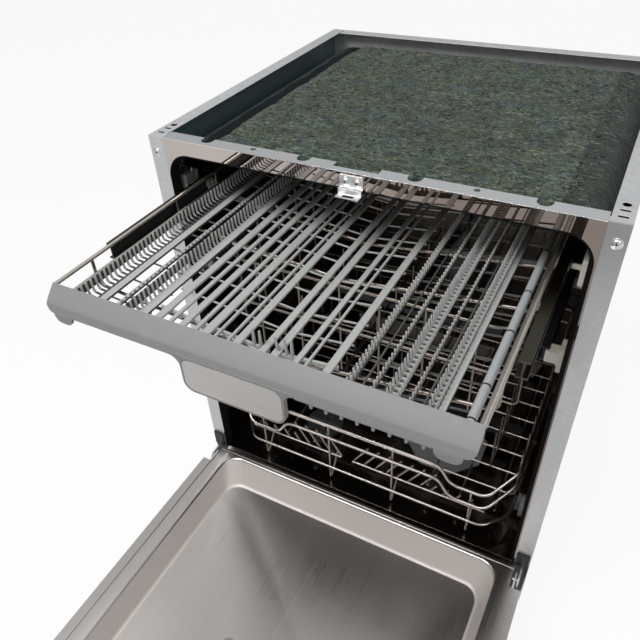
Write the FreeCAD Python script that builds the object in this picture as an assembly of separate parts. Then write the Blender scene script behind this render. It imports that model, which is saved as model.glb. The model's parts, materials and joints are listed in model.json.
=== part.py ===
import FreeCAD, Part
import math
import os

Vector = FreeCAD.Vector

# Built-in dishwasher with its door open and its cutlery tray drawn out.
# Millimetres: X across, Y back from the front plane of the side posts, Z up from the floor.

# Cabinet
cabinet_width = 598.0
cabinet_height = 815.0
cabinet_depth = 550.0
sheet = 1.0
post_width = 23.0
post_return = 12.0
post_bottom = 205.0
panel_bottom = 100.0
top_flange_width = 22.0
face_height = 20.0
opening_lip = 2.0
opening_radius = 35.0
ledge_depth = 21.0
sill_height = 12.0
service_gap = 35.0
half_width = cabinet_width / 2
frame_half = half_width - post_width
opening_half = frame_half - opening_lip
opening_top = cabinet_height - face_height
tub_back = cabinet_depth - service_gap

# Holes in the top ledge and the side flanges
ledge_hole_radius = 3.5
ledge_hole_x = 142.0
ledge_hole_y = 14.0
notch_radius = 8.5
notch_centre_y = 15.5
notch_spacing = 142.0
strike_gap_half = 29.0
strike_gap_front = 10.0
flange_hole_radius = 4.5
flange_hole_y = 42.0
flange_slot_y = (15.0, 29.0)
flange_slot_length = 10.0
flange_slot_width = 4.0

# Tub
track_height = 200.0
basin_wall_gap = 46.0
basin_half = opening_half - basin_wall_gap
basin_front = 60.0
basin_back_gap = 27.0
basin_back = tub_back - basin_back_gap
basin_depth = 32.0
basin_draft = 14.0
basin_radius = 40.0
sump_x = 95.0
sump_y = 215.0
sump_hole_radius = 60.0
salt_x = -140.0
salt_y = 150.0
salt_neck_radius = 33.0
arm_axis_shift = 0.5
arm_axis_y = tub_back / 2 + arm_axis_shift
post_radius = 12.0
fit_gap = 0.3

# Sound layers
bitumen_thickness = 2.0
bitumen_foot = 420.0
bitumen_front = 30.0
bitumen_back_gap = 35.0
bitumen_back = tub_back - bitumen_back_gap
felt_thickness = 11.0
felt_left_gap = 52.0
felt_left = felt_left_gap - opening_half
felt_hang = 95.0
felt_foot = opening_top - felt_hang
felt_front = 24.0
felt_back_gap = 10.0
felt_back = tub_back - felt_back_gap

# Seal, strike and screws
seal_width = 6.0
seal_front = -4.0
seal_back = 12.0
strike_half = 15.0
strike_drop = 6.0
strike_bottom = opening_top - strike_drop
strike_top_gap = 3.0
strike_top = cabinet_height - strike_top_gap
strike_plate = 1.5
strike_reach = 15.0
strike_step_rise = 2.0
strike_step = opening_top + strike_step_rise
strike_clear = 5.0
strike_slot_length = 14.0
strike_slot_width = 6.0
screw_radius = 4.5
screw_head = 2.0
post_screw_inset = 10.0
post_screw_x = half_width - post_screw_inset
post_screw_drop = 22.5
post_screw_z = cabinet_height - post_screw_drop

# Base
base_front = 40.0
base_bottom = 40.0
base_wall = 3.0
base_rim = 40.0
base_rim_thickness = 6.0
foot_inset = 37.0
foot_x = half_width - foot_inset
foot_front_y = 80.0
foot_back_gap = 35.0
foot_back_y = tub_back - foot_back_gap
foot_pad_radius = 20.0
foot_pad_height = 8.0
foot_neck_radius = 12.0
foot_stem_radius = 5.0
foot_stem_top = 78.0
boss_radius = 11.0
boss_height = 30.0
weight_half = 110.0
weight_depth = 55.0
weight_height = 66.0
pump_weight_gap = 4.0

# Water and power connections at the back of the base
inlet_x = -230.0
inlet_z = 100.0
inlet_radius = 13.2
drain_x = -160.0
drain_z = 100.0
drain_radius = 9.5
gland_x = 215.0
gland_z = 100.0
gland_radius = 9.0
spigot_length = 28.0
collar_margin = 1.0
valve_size = 40.0

# Door, drawn in its open place
pivot_y = -20.0
pivot_z = 185.0
liner_rise = 15.0
door_heel = 12.0
door_short_of_top = 178.0
door_length = cabinet_height - door_short_of_top
door_thickness = 58.0
door_side_gap = 2.0
door_half = half_width - door_side_gap
liner_edge = 3.0
liner_step = 1.4
liner_step_inset = 16.0
recess_border = 39.5
recess_half = door_half - recess_border
recess_heel = 8.0
recess_far_margin = 13.0
recess_depth = 45.0
recess_draft = 16.0
recess_heel_draft = 25.0
recess_radius = 30.0
hinge_notch_length = 36.0
hinge_notch_width = 18.0
hinge_notch_half = door_half - hinge_notch_width
panel_length = 57.0
pin_radius = 4.0
pin_clearance = 0.05
arm_inset = 14.0
arm_x = door_half - arm_inset
arm_plate = 3.0
arm_nose = 11.0
arm_length = 140.0
bracket_inset = 9.0
bracket_x = door_half - bracket_inset
bracket_nose = 13.0
cover_thickness = 4.0
cover_top = 232.0
front_hole_radius = 2.5
front_hole_inset = 57.0
front_hole_x = door_half - front_hole_inset
front_hole_first = 112.0
front_hole_spacing = 400.0

# Controls on the free edge of the door
key_half = 8.0
key_rise = 5.0
button_inset = 57.0
button_end_x = door_half - button_inset
button_x = {"power_button": -button_end_x, "program_button": -60.0, "start_button": button_end_x}
button_proud = 1.5
button_body = 6.0
button_well = 9.0
latch_half = 4.0
latch_thickness = 4.0
latch_length = 14.0
pocket_half = 20.0
pocket_margin = 6.0

# Detergent dispenser
dispenser_half = 85.0
dispenser_length = 110.0
dispenser_from_heel = 280.0
dispenser_flange = 5.0
dispenser_inset = 8.0
chamber_half = 42.0
chamber_x = -30.0
chamber_margin = 12.0
lid_margin = 5.0
lid_thickness = 4.0
lid_hinge_radius = 3.0
rinse_x = 52.0
rinse_radius = 18.0
rinse_height = 6.0

# Cutlery tray, drawn out
tray_front = -270.0
tray_back_gap = 320.0
tray_back = tub_back - tray_back_gap
bar_side_gap = 38.0
bar_half = opening_half - bar_side_gap
bar_top_gap = 38.0
bar_top = opening_top - bar_top_gap
bar_crease_drop = 15.0
bar_crease_z = bar_top - bar_crease_drop
bar_height = 26.0
bar_bottom = bar_top - bar_height
bar_depth = 18.5
bar_crease_run = 3.0
bar_wall = 3.0
bar_end_radius = 10.0
lip_drop = 6.0
lip_rail = 1.5
lip_pitch = 15.0
lip_peg = 2.6
lip_end = 36.0
tab_width = 25.0
tab_drop = 11.0
tab_from_end = 10.0
badge_half = 59.0
badge_drop = 69.0
badge_bottom = bar_top - badge_drop
badge_radius = 12.0
badge_frame = 2.0
badge_plate_thickness = 1.0
badge_depth = 6.0
tray_centre_drop = 52.0
tray_centre_z = bar_top - tray_centre_drop
tray_slope = math.radians(6.0)
slat_thickness = 3.0
rib_width = 2.6
rib_height = 5.0
rib_pitch = 17.5
fin_pitch = 7.2
peg_pitch = 28.8
peg_size = 4.0
peg_height = 21.0
left_peg_x = (-21.0, -13.0)
right_peg_x = (9.0, 19.0, 25.0)
peg_on_slat = 10.0
tube_inset = 21.5
tube_inner_x = bar_half - tube_inset
tube_width = 9.0
tube_height = 7.0
side_wire_inset = 1.5
side_wire_x = bar_half - side_wire_inset
side_wire_drop = 3.0
side_wire_z = bar_top - side_wire_drop
side_wire_radius = 2.5
low_wire_rise = 5.0
low_wire_z = bar_bottom + low_wire_rise
cradle_wire_radius = 2.0
low_wire_x = side_wire_x - cradle_wire_radius - side_wire_radius
cradle_open_y = -41.0
cradle_under_centre_rib = 3
cradles_under_comb_ribs = (-5, -2)

# Slats as left and right edges, and combs as place, step beside it, thickness, height and kind of tooth.
# The places are for a bar of the drawn half length, and move out and in with the bar.
drawn_bar_half = 236.0
tray_share = bar_half / drawn_bar_half
left_comb_span = (-221.0, -143.5)
left_centre_span = (-137.0, -3.0)
right_centre_span = (3.0, 78.0)
right_comb_span = (93.0, 223.5)
left_slats = ((-206.0, -197.0), (-154.5, -143.5))
left_combs = (
    (-219.0, 0.0, 3.0, 15.0, "fin"), (-206.0, -1.5, 3.0, 10.0, "peg"), (-180.0, 0.0, 4.0, 7.0, "peg"),
    (-154.5, -2.0, 4.0, 16.0, "fin"),
)
left_centre_slats = (
    (-135.0, -126.5), (-118.0, -113.5), (-105.0, -97.5), (-87.5, -83.0),
    (-77.5, -68.0), (-63.0, -60.0), (-48.0, -45.0), (-40.5, -32.0), (-10.5, -3.0),
)
right_centre_slats = ((3.0, 12.5), (31.5, 38.0), (45.0, 48.0), (67.0, 76.0))
right_slats = ((189.0, 198.0),)
right_combs = (
    (98.0, 0.0, 4.5, 6.0, "peg"), (124.5, 0.0, 4.5, 6.0, "peg"), (143.0, 0.0, 3.0, 15.0, "wide"),
    (151.0, 0.0, 3.0, 15.0, "late"), (163.0, 0.0, 3.0, 6.0, "peg"), (185.0, 0.0, 4.0, 13.0, "fin"),
)

# Rails for the tray and the upper basket
rail_bar_gap = 2.0
rail_inner_x = bar_half + rail_bar_gap
rail_width = 12.0
rail_web = 2.0
rail_height = 21.0
rail_flange = 2.0
tray_rail_drop = 29.0
tray_rail_bottom = bar_top - tray_rail_drop
tray_rail_front = -158.0
upper_rail_front = 25.0
rail_short_of_back = 77.0
rail_length = tub_back - rail_short_of_back
roller_width = 4.0
roller_y = 30.0
guide_y = 200.0
guide_length = 20.0
bracket_length = 28.0
bracket_height = 34.0
bracket_plate = 12.0
axle_radius = 3.0
shoe_length = 22.0
tray_shoe_y = (29.0, 139.0)
upper_shoe_gap = (185.0, 65.0)
upper_shoe_y = [tub_back - gap for gap in upper_shoe_gap]

# Upper basket
upper_wall_gap = 46.0
upper_half = opening_half - upper_wall_gap
upper_front = 14.0
basket_back_gap = 27.0
upper_back = tub_back - basket_back_gap
upper_top_drop = 155.0
upper_top = opening_top - upper_top_drop
upper_mid_drop = 75.0
upper_mid = upper_top - upper_mid_drop
upper_depth = 160.0
upper_floor = upper_top - upper_depth
upper_rail_drop = 40.0
upper_rail_bottom = upper_top - upper_rail_drop
upper_chamfer = 34.0
upper_cross_count = 8
upper_long_x = (-165.0, -95.0, -30.0, 30.0, 95.0, 165.0)
upper_tine_x = (-130.0, 0.0, 130.0)
upper_tine_count = 6
upper_tine_height = 62.0
feed_tube_radius = 9.0
feed_tube_drop = 16.0

# Lower basket
lower_wall_gap = 24.0
lower_half = opening_half - lower_wall_gap
lower_front = 12.0
lower_back = tub_back - basket_back_gap
lower_top = 349.0
lower_second = 317.0
lower_comb_rail = 269.0
lower_floor = 241.0
lower_dip = 33.0
lower_dip_inner_gap = 113.0
lower_dip_inner = lower_half - lower_dip_inner_gap
lower_dip_outer_gap = 93.0
lower_dip_outer = lower_half - lower_dip_outer_gap
lower_corner_gap = 36.0
lower_corner_x = lower_half - lower_corner_gap
lower_corner_run = 40.0
lower_foot_z = 206.0
lower_foot_gap = 60.0
lower_foot_end = lower_half - lower_foot_gap
lower_foot_x = (-lower_foot_end, -58.0, 58.0, lower_foot_end)
lower_foot_run = 30.0
lower_cross_count = 10
lower_long_gap = 25.0
lower_long_end = lower_half - lower_long_gap
lower_long_x = (-lower_long_end, -165.0, -110.0, 110.0, 165.0, lower_long_end)
lower_tine_x = (-138.0, -20.0, 82.0, 195.0)
lower_tine_count = 9
lower_tine_height = 84.0
lower_comb_count = 8
lower_comb_lean = 30.0
rim_wire_radius = 2.4
thin_wire_radius = 1.7
wheel_radius = 19.0
wheel_width = 8.0
wheel_wall_gap = 7.2
rear_wheel_gap = 120.0
wheel_y = (95.0, tub_back - rear_wheel_gap)
wheel_hub_radius = 6.0

# Spray arms
arm_back_gap = 30.0
arm_tip_gap = 6.0
lower_arm_radius = min(basin_half, arm_axis_y - arm_back_gap) - arm_tip_gap
upper_arm_short = 17.0
upper_arm_radius = lower_arm_radius - upper_arm_short
ceiling_arm_radius = 85.0
arm_hub_half = 26.0
arm_tip_half = 13.0
arm_thickness = 12.0
arm_hub_radius = 19.0
arm_hub_drop = 8.0
arm_pin_radius = 6.0
arm_pin_clearance = 0.06
duct_half = 14.0
duct_depth = 13.0
ceiling_arm_y = 300.0
ceiling_arm_drop = 30.0
ceiling_arm_z = opening_top - ceiling_arm_drop

# Shared places worked out from the sizes above
tub_outer_half = opening_half + sheet
tub_outer_top = opening_top + sheet
basin_floor = track_height - basin_depth
base_top = track_height - sheet
base_back = tub_back
base_floor = base_bottom + base_wall
liner_plane = pivot_z + liner_rise
door_heel_y = pivot_y + door_heel
door_far_y = door_heel_y - door_length
door_outer_z = liner_plane - door_thickness
panel_start_y = door_far_y + panel_length
recess_floor = liner_plane - recess_depth
rail_outer_x = rail_inner_x + rail_width
corner_share = math.tan(math.pi / 8)
roller_radius = rail_height / 2 - rail_flange - fit_gap
door_reach = button_proud - door_far_y
footprint_middle = (cabinet_depth - door_reach) / 2


def box(x0, x1, y0, y1, z0, z1):
    return Part.makeBox(x1 - x0, y1 - y0, z1 - z0, Vector(x0, y0, z0))


def cylinder(radius, length, base, axis):
    return Part.makeCylinder(radius, length, Vector(*base), Vector(*axis))


def fuse_all(shapes):
    return shapes[0].multiFuse(shapes[1:]).removeSplitter()


def mirrored(shape):
    return shape.mirror(Vector(0, 0, 0), Vector(1, 0, 0))


def pair(shape):
    return Part.makeCompound([shape, mirrored(shape)])


# Closed outline through corners given as (u, v) or (u, v, radius), placed in space by the given function
def outline(corners, place):
    count = len(corners)
    starts = []
    ends = []
    middles = []
    for index, corner in enumerate(corners):
        here = Vector(corner[0], corner[1], 0)
        radius = corner[2] if len(corner) > 2 else 0
        before = Vector(*corners[index - 1][:2], 0) - here
        after = Vector(*corners[(index + 1) % count][:2], 0) - here
        before.normalize()
        after.normalize()
        half_turn = before.getAngle(after) / 2
        reach = radius / math.tan(half_turn)
        bisector = before + after
        if radius:
            bisector.normalize()
        starts.append(here + before * reach)
        ends.append(here + after * reach)
        middles.append(here + bisector * (radius / math.sin(half_turn) - radius) if radius else here)
    edges = []
    for index, corner in enumerate(corners):
        start = place(starts[index])
        end = place(ends[index])
        if len(corner) > 2 and corner[2]:
            edges.append(Part.Arc(start, place(middles[index]), end).toShape())
        following = place(starts[(index + 1) % count])
        if end.distanceToPoint(following) > 1e-6:
            edges.append(Part.makeLine(end, following))
    return Part.Wire(edges)


def plate_xz(corners, y0, y1):
    wire = outline(corners, lambda p: Vector(p.x, y0, p.y))
    return Part.Face(wire).extrude(Vector(0, y1 - y0, 0))


def plate_yz(corners, x0, x1):
    wire = outline(corners, lambda p: Vector(x0, p.x, p.y))
    return Part.Face(wire).extrude(Vector(x1 - x0, 0, 0))


def plate_xy(corners, z0, z1):
    wire = outline(corners, lambda p: Vector(p.x, p.y, z0))
    return Part.Face(wire).extrude(Vector(0, 0, z1 - z0))


def rectangle(x0, x1, y0, y1, radius):
    return [(x0, y0, radius), (x1, y0, radius), (x1, y1, radius), (x0, y1, radius)]


# Pan between a wide rounded rectangle at the top and a smaller one at the bottom
def pan(top, bottom, top_z, bottom_z):
    upper = outline(top, lambda p: Vector(p.x, p.y, top_z))
    lower = outline(bottom, lambda p: Vector(p.x, p.y, bottom_z))
    return Part.makeLoft([upper, lower], True, True)


# Sheet bent over the tub like an arch, open below
def arch(inner_half, inner_top, inner_radius, thickness, foot, y0, y1):
    outer_half = inner_half + thickness
    outer_top = inner_top + thickness
    outer_radius = inner_radius + thickness
    corners = [
        (-outer_half, foot), (-outer_half, outer_top, outer_radius),
        (outer_half, outer_top, outer_radius), (outer_half, foot),
        (inner_half, foot), (inner_half, inner_top, inner_radius),
        (-inner_half, inner_top, inner_radius), (-inner_half, foot),
    ]
    return plate_xz(corners, y0, y1)


def revolved(profile, x, y):
    wire = outline(profile, lambda p: Vector(x + p.x, y, p.y))
    return Part.Face(wire).revolve(Vector(x, y, 0), Vector(0, 0, 1), 360)


# Bar with a regular section of flat sides, which lie at the given distance from its middle
def prism(sides, flat, length, base, axis):
    along = Vector(*axis)
    helper = Vector(1, 0, 0) if abs(along.z) > 0.9 else Vector(0, 0, 1)
    side = along.cross(helper)
    up = along.cross(side)
    reach = flat / math.cos(math.pi / sides)
    ring = []
    for step in range(sides + 1):
        angle = 2 * math.pi * (step + 0.5) / sides
        ring.append(Vector(*base) + side * (reach * math.cos(angle)) + up * (reach * math.sin(angle)))
    return Part.Face(Part.makePolygon(ring)).extrude(along * length)


# Straight run of square wire, whose ends are cut square to the given mitre directions
def wire_run(start, end, start_mitre, end_mitre, radius):
    along = end - start
    along.normalize()
    helper = Vector(1, 0, 0) if abs(along.z) > 0.9 else Vector(0, 0, 1)
    side = along.cross(helper)
    side.normalize()
    up = along.cross(side)
    rings = []
    for point, mitre in ((start, start_mitre), (end, end_mitre)):
        ring = []
        for across, rise in ((-1, -1), (1, -1), (1, 1), (-1, 1)):
            offset = side * (across * radius) + up * (rise * radius)
            ring.append(point + offset - along * (offset.dot(mitre) / along.dot(mitre)))
        rings.append(ring)
    near, far = rings
    faces = [near[::-1], far]
    for index in range(4):
        following = (index + 1) % 4
        faces.append([near[index], near[following], far[following], far[index]])
    return Part.makeSolid(Part.makeShell([Part.Face(Part.makePolygon(face + face[:1])) for face in faces]))


# Wire bent through the given points, as straight runs that meet on mitres
def wire_runs(points, radius):
    path = [Vector(*point) for point in points]
    directions = []
    for start, end in zip(path, path[1:]):
        direction = end - start
        direction.normalize()
        directions.append(direction)
    runs = []
    last = len(directions) - 1
    for index, direction in enumerate(directions):
        start_mitre = directions[index - 1] + direction if index else direction
        end_mitre = direction + directions[index + 1] if index < last else direction
        runs.append(wire_run(path[index], path[index + 1], start_mitre, end_mitre, radius))
    return runs


def spread(first, last, count):
    step = (last - first) / (count - 1)
    return [first + step * index for index in range(count)]


# Tub

def tub_shell():
    return arch(opening_half, opening_top, opening_radius, sheet, track_height, sheet, tub_back)


def tub_back_wall():
    corners = [
        (-tub_outer_half, base_top), (tub_outer_half, base_top),
        (tub_outer_half, tub_outer_top, opening_radius), (-tub_outer_half, tub_outer_top, opening_radius),
    ]
    return plate_xz(corners, tub_back, tub_back + sheet)


# Rectangle with its corners cut in three flats
def cut_rectangle(x0, x1, y0, y1, radius):
    reach = radius * (1 - math.sqrt(0.5))
    corners = []
    for x, y, turn_x, turn_y in ((x0, y0, 1, 1), (x1, y0, -1, 1), (x1, y1, -1, -1), (x0, y1, 1, -1)):
        cut = [(x, y + turn_y * radius), (x + turn_x * reach, y + turn_y * reach), (x + turn_x * radius, y)]
        corners += cut if turn_x == turn_y else cut[::-1]
    return corners


def basin(grow, depth):
    inset = basin_draft
    x = basin_half + grow
    front = basin_front - grow
    back = basin_back + grow
    top = cut_rectangle(-x, x, front, back, basin_radius)
    bottom = cut_rectangle(-x + inset, x - inset, front + inset, back - inset, basin_radius)
    return pan(top, bottom, track_height, track_height - depth)


def tub_floor():
    flange = box(-tub_outer_half, tub_outer_half, sheet, tub_back, track_height - sheet, track_height)
    floor = flange.fuse(basin(sheet, basin_depth + sheet)).cut(basin(0, basin_depth))
    low = basin_floor - 2 * sheet
    tall = 4 * sheet
    floor = floor.cut(prism(8, sump_hole_radius, tall, (sump_x, sump_y, low), (0, 0, 1)))
    floor = floor.cut(prism(12, salt_neck_radius + fit_gap, tall, (salt_x, salt_y, low), (0, 0, 1)))
    return floor.cut(prism(12, post_radius + fit_gap, tall, (0, arm_axis_y, low), (0, 0, 1)))


def front_frame():
    bottom = track_height - sill_height
    outer = [
        (-frame_half, bottom), (frame_half, bottom),
        (frame_half, cabinet_height), (-frame_half, cabinet_height),
    ]
    opening = [
        (-opening_half, track_height), (opening_half, track_height),
        (opening_half, opening_top, opening_radius), (-opening_half, opening_top, opening_radius),
    ]
    face = plate_xz(outer, 0, sheet).cut(plate_xz(opening, -sheet, 2 * sheet))
    under = cabinet_height - sheet
    ledge = box(-frame_half, frame_half, 0, ledge_depth, under, cabinet_height)
    for number in (-1.5, -0.5, 0.5, 1.5):
        x = number * notch_spacing
        ledge = ledge.cut(cylinder(notch_radius, sheet, (x, notch_centre_y, under), (0, 0, 1)))
        mouth = box(x - notch_radius, x + notch_radius, notch_centre_y, ledge_depth, under, cabinet_height)
        ledge = ledge.cut(mouth)
    for x in (-ledge_hole_x, ledge_hole_x):
        ledge = ledge.cut(cylinder(ledge_hole_radius, sheet, (x, ledge_hole_y, under), (0, 0, 1)))
    gap = box(-strike_gap_half, strike_gap_half, strike_gap_front, ledge_depth, under, cabinet_height)
    return fuse_all([face, ledge.cut(gap)])


def side_panel():
    inner = half_width - post_width
    skin = box(half_width - sheet, half_width, 0, cabinet_depth, panel_bottom, cabinet_height)
    front = box(inner, half_width, 0, sheet, post_bottom, cabinet_height)
    lip = box(inner, inner + sheet, 0, post_return, post_bottom, cabinet_height)
    rear = box(inner, half_width, cabinet_depth - sheet, cabinet_depth, panel_bottom, cabinet_height)
    under = cabinet_height - sheet
    flange_start = half_width - top_flange_width
    flange = box(flange_start, half_width, 0, cabinet_depth, under, cabinet_height)
    middle = (flange_start + half_width) / 2
    flange = flange.cut(cylinder(flange_hole_radius, sheet, (middle, flange_hole_y, under), (0, 0, 1)))
    reach = flange_slot_length / 2
    for y in flange_slot_y:
        half = flange_slot_width / 2
        flange = flange.cut(box(middle - reach, middle + reach, y - half, y + half, under, cabinet_height))
    return fuse_all([skin, front, lip, rear, flange])


def rear_panel():
    back = cabinet_depth
    plate = box(-frame_half, frame_half, back - sheet, back, base_top, cabinet_height)
    brace = box(-frame_half, frame_half, back - post_width, back, cabinet_height - sheet, cabinet_height)
    pieces = [plate, brace]
    for z in spread(base_top + 3 * post_width, cabinet_height - 4 * post_width, 3):
        bead = [
            (back - sheet, z - post_return), (back - sheet - base_wall, z - post_return / 2),
            (back - sheet - base_wall, z + post_return / 2), (back - sheet, z + post_return),
        ]
        pieces.append(plate_yz(bead, -frame_half + post_width, frame_half - post_width))
    return fuse_all(pieces)


def bitumen_sheet():
    grow = sheet + fit_gap
    return arch(
        opening_half + grow, opening_top + grow, opening_radius + grow,
        bitumen_thickness, bitumen_foot, bitumen_front, bitumen_back,
    )


# Felt laid over the tub, which bends down over the right shoulder
def felt_mat():
    grow = sheet + fit_gap + bitumen_thickness + fit_gap
    inner_half = opening_half + grow
    bottom = opening_top + grow
    radius = opening_radius + grow
    top = bottom + felt_thickness
    crown = felt_thickness / 2 - 0.5
    corners = [
        (felt_left, bottom), (felt_left, top, crown),
        (inner_half + felt_thickness, top, radius + felt_thickness),
        (inner_half + felt_thickness, felt_foot), (inner_half, felt_foot), (inner_half, bottom, radius),
    ]
    return plate_xz(corners, felt_front, felt_back)


def door_gasket():
    inset = seal_width + fit_gap
    return arch(
        opening_half - inset, opening_top - inset, opening_radius - inset,
        seal_width, track_height + fit_gap, seal_front, seal_back,
    )


# Bent strike that steps out over the seal and ends in a slotted tab
def door_strike():
    plate = strike_plate
    step = strike_step - strike_plate
    corners = [
        (-plate, strike_top), (0, strike_top), (0, step),
        (-strike_clear, step), (-strike_clear, strike_bottom),
        (-strike_reach, strike_bottom), (-strike_reach, strike_bottom + plate),
        (-strike_clear - plate, strike_bottom + plate), (-strike_clear - plate, strike_step),
        (-plate, strike_step),
    ]
    bent = plate_yz(corners, -strike_half, strike_half)
    middle = strike_slot_y()
    reach = strike_slot_length / 2
    half = strike_slot_width / 2
    return bent.cut(box(-reach, reach, middle - half, middle + half, strike_bottom, strike_bottom + plate))


def strike_slot_y():
    return -(strike_reach + strike_clear + strike_plate) / 2


def frame_screws():
    places = [(-post_screw_x, 0, post_screw_z), (post_screw_x, 0, post_screw_z)]
    strike_screw_z = (opening_top + strike_top) / 2
    for x in (-strike_half / 2, strike_half / 2):
        places.append((x, -strike_plate, strike_screw_z))
    return Part.makeCompound([prism(6, screw_radius, screw_head, place, (0, -1, 0)) for place in places])


# Base

def base_tray():
    outer_half = half_width - sheet
    solid = box(-outer_half, outer_half, base_front, base_back, base_bottom, base_top)
    inner_half = outer_half - base_wall
    room = box(
        -inner_half, inner_half, base_front + base_wall, base_back - base_wall,
        base_floor, base_top - base_rim_thickness,
    )
    window = box(
        -inner_half + base_rim, inner_half - base_rim,
        base_front + base_wall + post_return, base_back - base_wall - post_return, base_floor, base_top,
    )
    bosses = []
    bores = []
    for x in (-foot_x, foot_x):
        for y in (foot_front_y, foot_back_y):
            bosses.append(box(x - boss_radius, x + boss_radius, y - boss_radius, y + boss_radius,
                              base_bottom, base_floor + boss_height))
            depth = base_wall + boss_height
            bores.append(prism(6, foot_stem_radius + fit_gap, depth, (x, y, base_bottom), (0, 0, 1)))
    shell = solid.cut(room).cut(window).multiFuse(bosses).cut(bores)
    inside = base_back - base_wall
    for x, z, radius in ((inlet_x, inlet_z, inlet_radius), (drain_x, drain_z, drain_radius)):
        half = radius + collar_margin + fit_gap
        shell = shell.cut(box(x - half, x + half, inside, base_back, z - half, z + half))
    gland_hole = prism(6, gland_radius + fit_gap, base_wall, (gland_x, inside, gland_z), (0, 1, 0))
    return shell.cut(gland_hole).removeSplitter()


def levelling_feet():
    feet = []
    for x in (-foot_x, foot_x):
        for y in (foot_front_y, foot_back_y):
            pad = prism(6, foot_pad_radius, foot_pad_height, (x, y, 0), (0, 0, 1))
            neck = prism(6, foot_neck_radius, base_bottom, (x, y, 0), (0, 0, 1))
            stem = prism(6, foot_stem_radius, foot_stem_top, (x, y, 0), (0, 0, 1))
            feet.append(fuse_all([pad, neck, stem]))
    return Part.makeCompound(feet)


def counterweight():
    back = base_back - base_wall - 2 * post_return
    return box(-weight_half, weight_half, back - weight_depth, back, base_floor, base_floor + weight_height)


def sump():
    under = basin_floor - sheet
    wall = base_wall
    bottom = base_floor + 2 * post_return + boss_height
    cup = prism(8, sump_hole_radius, under - bottom, (sump_x, sump_y, bottom), (0, 0, 1))
    rim = prism(8, sump_hole_radius + post_return, wall, (sump_x, sump_y, under - wall), (0, 0, 1))
    room = prism(8, sump_hole_radius - wall, under - bottom, (sump_x, sump_y, bottom + wall), (0, 0, 1))
    return fuse_all([cup, rim]).cut(room)


def tub_filter():
    cup_flat = sump_hole_radius / 2
    rim = sump_hole_radius + post_return
    bottom = basin_floor - sheet - basin_depth
    top = basin_floor + 2 * sheet
    plate = prism(8, rim, 2 * sheet, (sump_x, sump_y, basin_floor), (0, 0, 1))
    plate = plate.cut(prism(12, cup_flat + fit_gap, 2 * sheet, (sump_x, sump_y, basin_floor), (0, 0, 1)))
    cup = prism(12, cup_flat, top - bottom, (sump_x, sump_y, bottom), (0, 0, 1))
    lip = prism(12, cup_flat + base_wall, base_wall, (sump_x, sump_y, top), (0, 0, 1))
    room = prism(12, cup_flat - base_wall, top - bottom, (sump_x, sump_y, bottom + base_wall), (0, 0, 1))
    return Part.makeCompound([plate, fuse_all([cup, lip]).cut(room)])


def circulation_pump():
    radius = 40.0
    start = sump_y + sump_hole_radius + 2 * post_return
    weight_front = base_back - base_wall - 2 * post_return - weight_depth
    length = weight_front - pump_weight_gap - start
    axis_x = sump_x - basin_radius
    axis_z = base_floor + radius + post_return
    motor = prism(8, radius, length, (axis_x, start, axis_z), (0, 1, 0))
    volute = prism(8, radius + base_wall, basin_radius / 2, (axis_x, start, axis_z), (0, 1, 0))
    cradle = box(axis_x - radius / 2, axis_x + radius / 2, start + radius, start + 2 * radius,
                 base_floor, axis_z)
    intake = prism(8, post_radius, 2 * post_return, (axis_x, start, axis_z), (0, -1, 0))
    return fuse_all([motor, volute, cradle, intake])


def drain_pump():
    radius = 22.0
    start = sump_x + sump_hole_radius + post_return
    axis_z = base_floor + radius
    motor = prism(8, radius, 55.0, (start, sump_y, axis_z), (1, 0, 0))
    foot = box(start + post_return, start + 2 * post_return, sump_y - radius, sump_y + radius,
               base_floor, axis_z)
    return fuse_all([motor, foot])


def softener():
    top = basin_floor - basin_draft
    body = box(salt_x - 80, salt_x + 60, salt_y - 55, salt_y + 120, base_floor, top)
    neck = prism(12, salt_neck_radius, basin_floor - top + sheet, (salt_x, salt_y, top), (0, 0, 1))
    return fuse_all([body, neck])


def salt_cap():
    bottom = basin_floor + sheet
    rim = salt_neck_radius + base_wall
    cap = prism(12, rim, post_return, (salt_x, salt_y, bottom), (0, 0, 1))
    grip = box(salt_x - rim + base_wall, salt_x + rim - base_wall, salt_y - base_wall, salt_y + base_wall,
               bottom + post_return, bottom + post_return + base_wall)
    return fuse_all([cap, grip])


# Hose spigot with a square collar where it goes through the back wall of the base
def spigot(x, z, radius):
    half = radius + collar_margin
    collar = box(x - half, x + half, base_back - base_wall, base_back, z - half, z + half)
    return [collar, cylinder(radius, spigot_length, (x, base_back, z), (0, 1, 0))]


def inlet_valve():
    inside = base_back - base_wall
    half = valve_size / 2
    body = box(inlet_x - half, inlet_x + half, inside - valve_size, inside, inlet_z - half, inlet_z + half)
    return fuse_all([body] + spigot(inlet_x, inlet_z, inlet_radius))


def drain_outlet():
    inside = base_back - base_wall
    half = drain_radius + 2 * base_wall
    flange = box(drain_x - half, drain_x + half, inside - base_wall, inside, drain_z - half, drain_z + half)
    return fuse_all([flange] + spigot(drain_x, drain_z, drain_radius))


def mains_gland():
    inside = base_back - base_wall
    nut = prism(6, gland_radius + base_wall, base_wall, (gland_x, inside - base_wall, gland_z), (0, 1, 0))
    body = prism(6, gland_radius, base_wall + post_return, (gland_x, inside, gland_z), (0, 1, 0))
    return fuse_all([nut, body])


# Spray arms and their supply

def lower_arm_post():
    low = base_floor + 2 * boss_height
    shoulder = track_height - arm_hub_drop / 2
    post = prism(12, post_radius, shoulder - low, (0, arm_axis_y, low), (0, 0, 1))
    flange = prism(8, 2 * post_radius, base_wall, (0, arm_axis_y, basin_floor), (0, 0, 1))
    pin = cylinder(arm_pin_radius, arm_hub_drop + arm_thickness, (0, arm_axis_y, shoulder), (0, 0, 1))
    return fuse_all([post, flange, pin])


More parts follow.
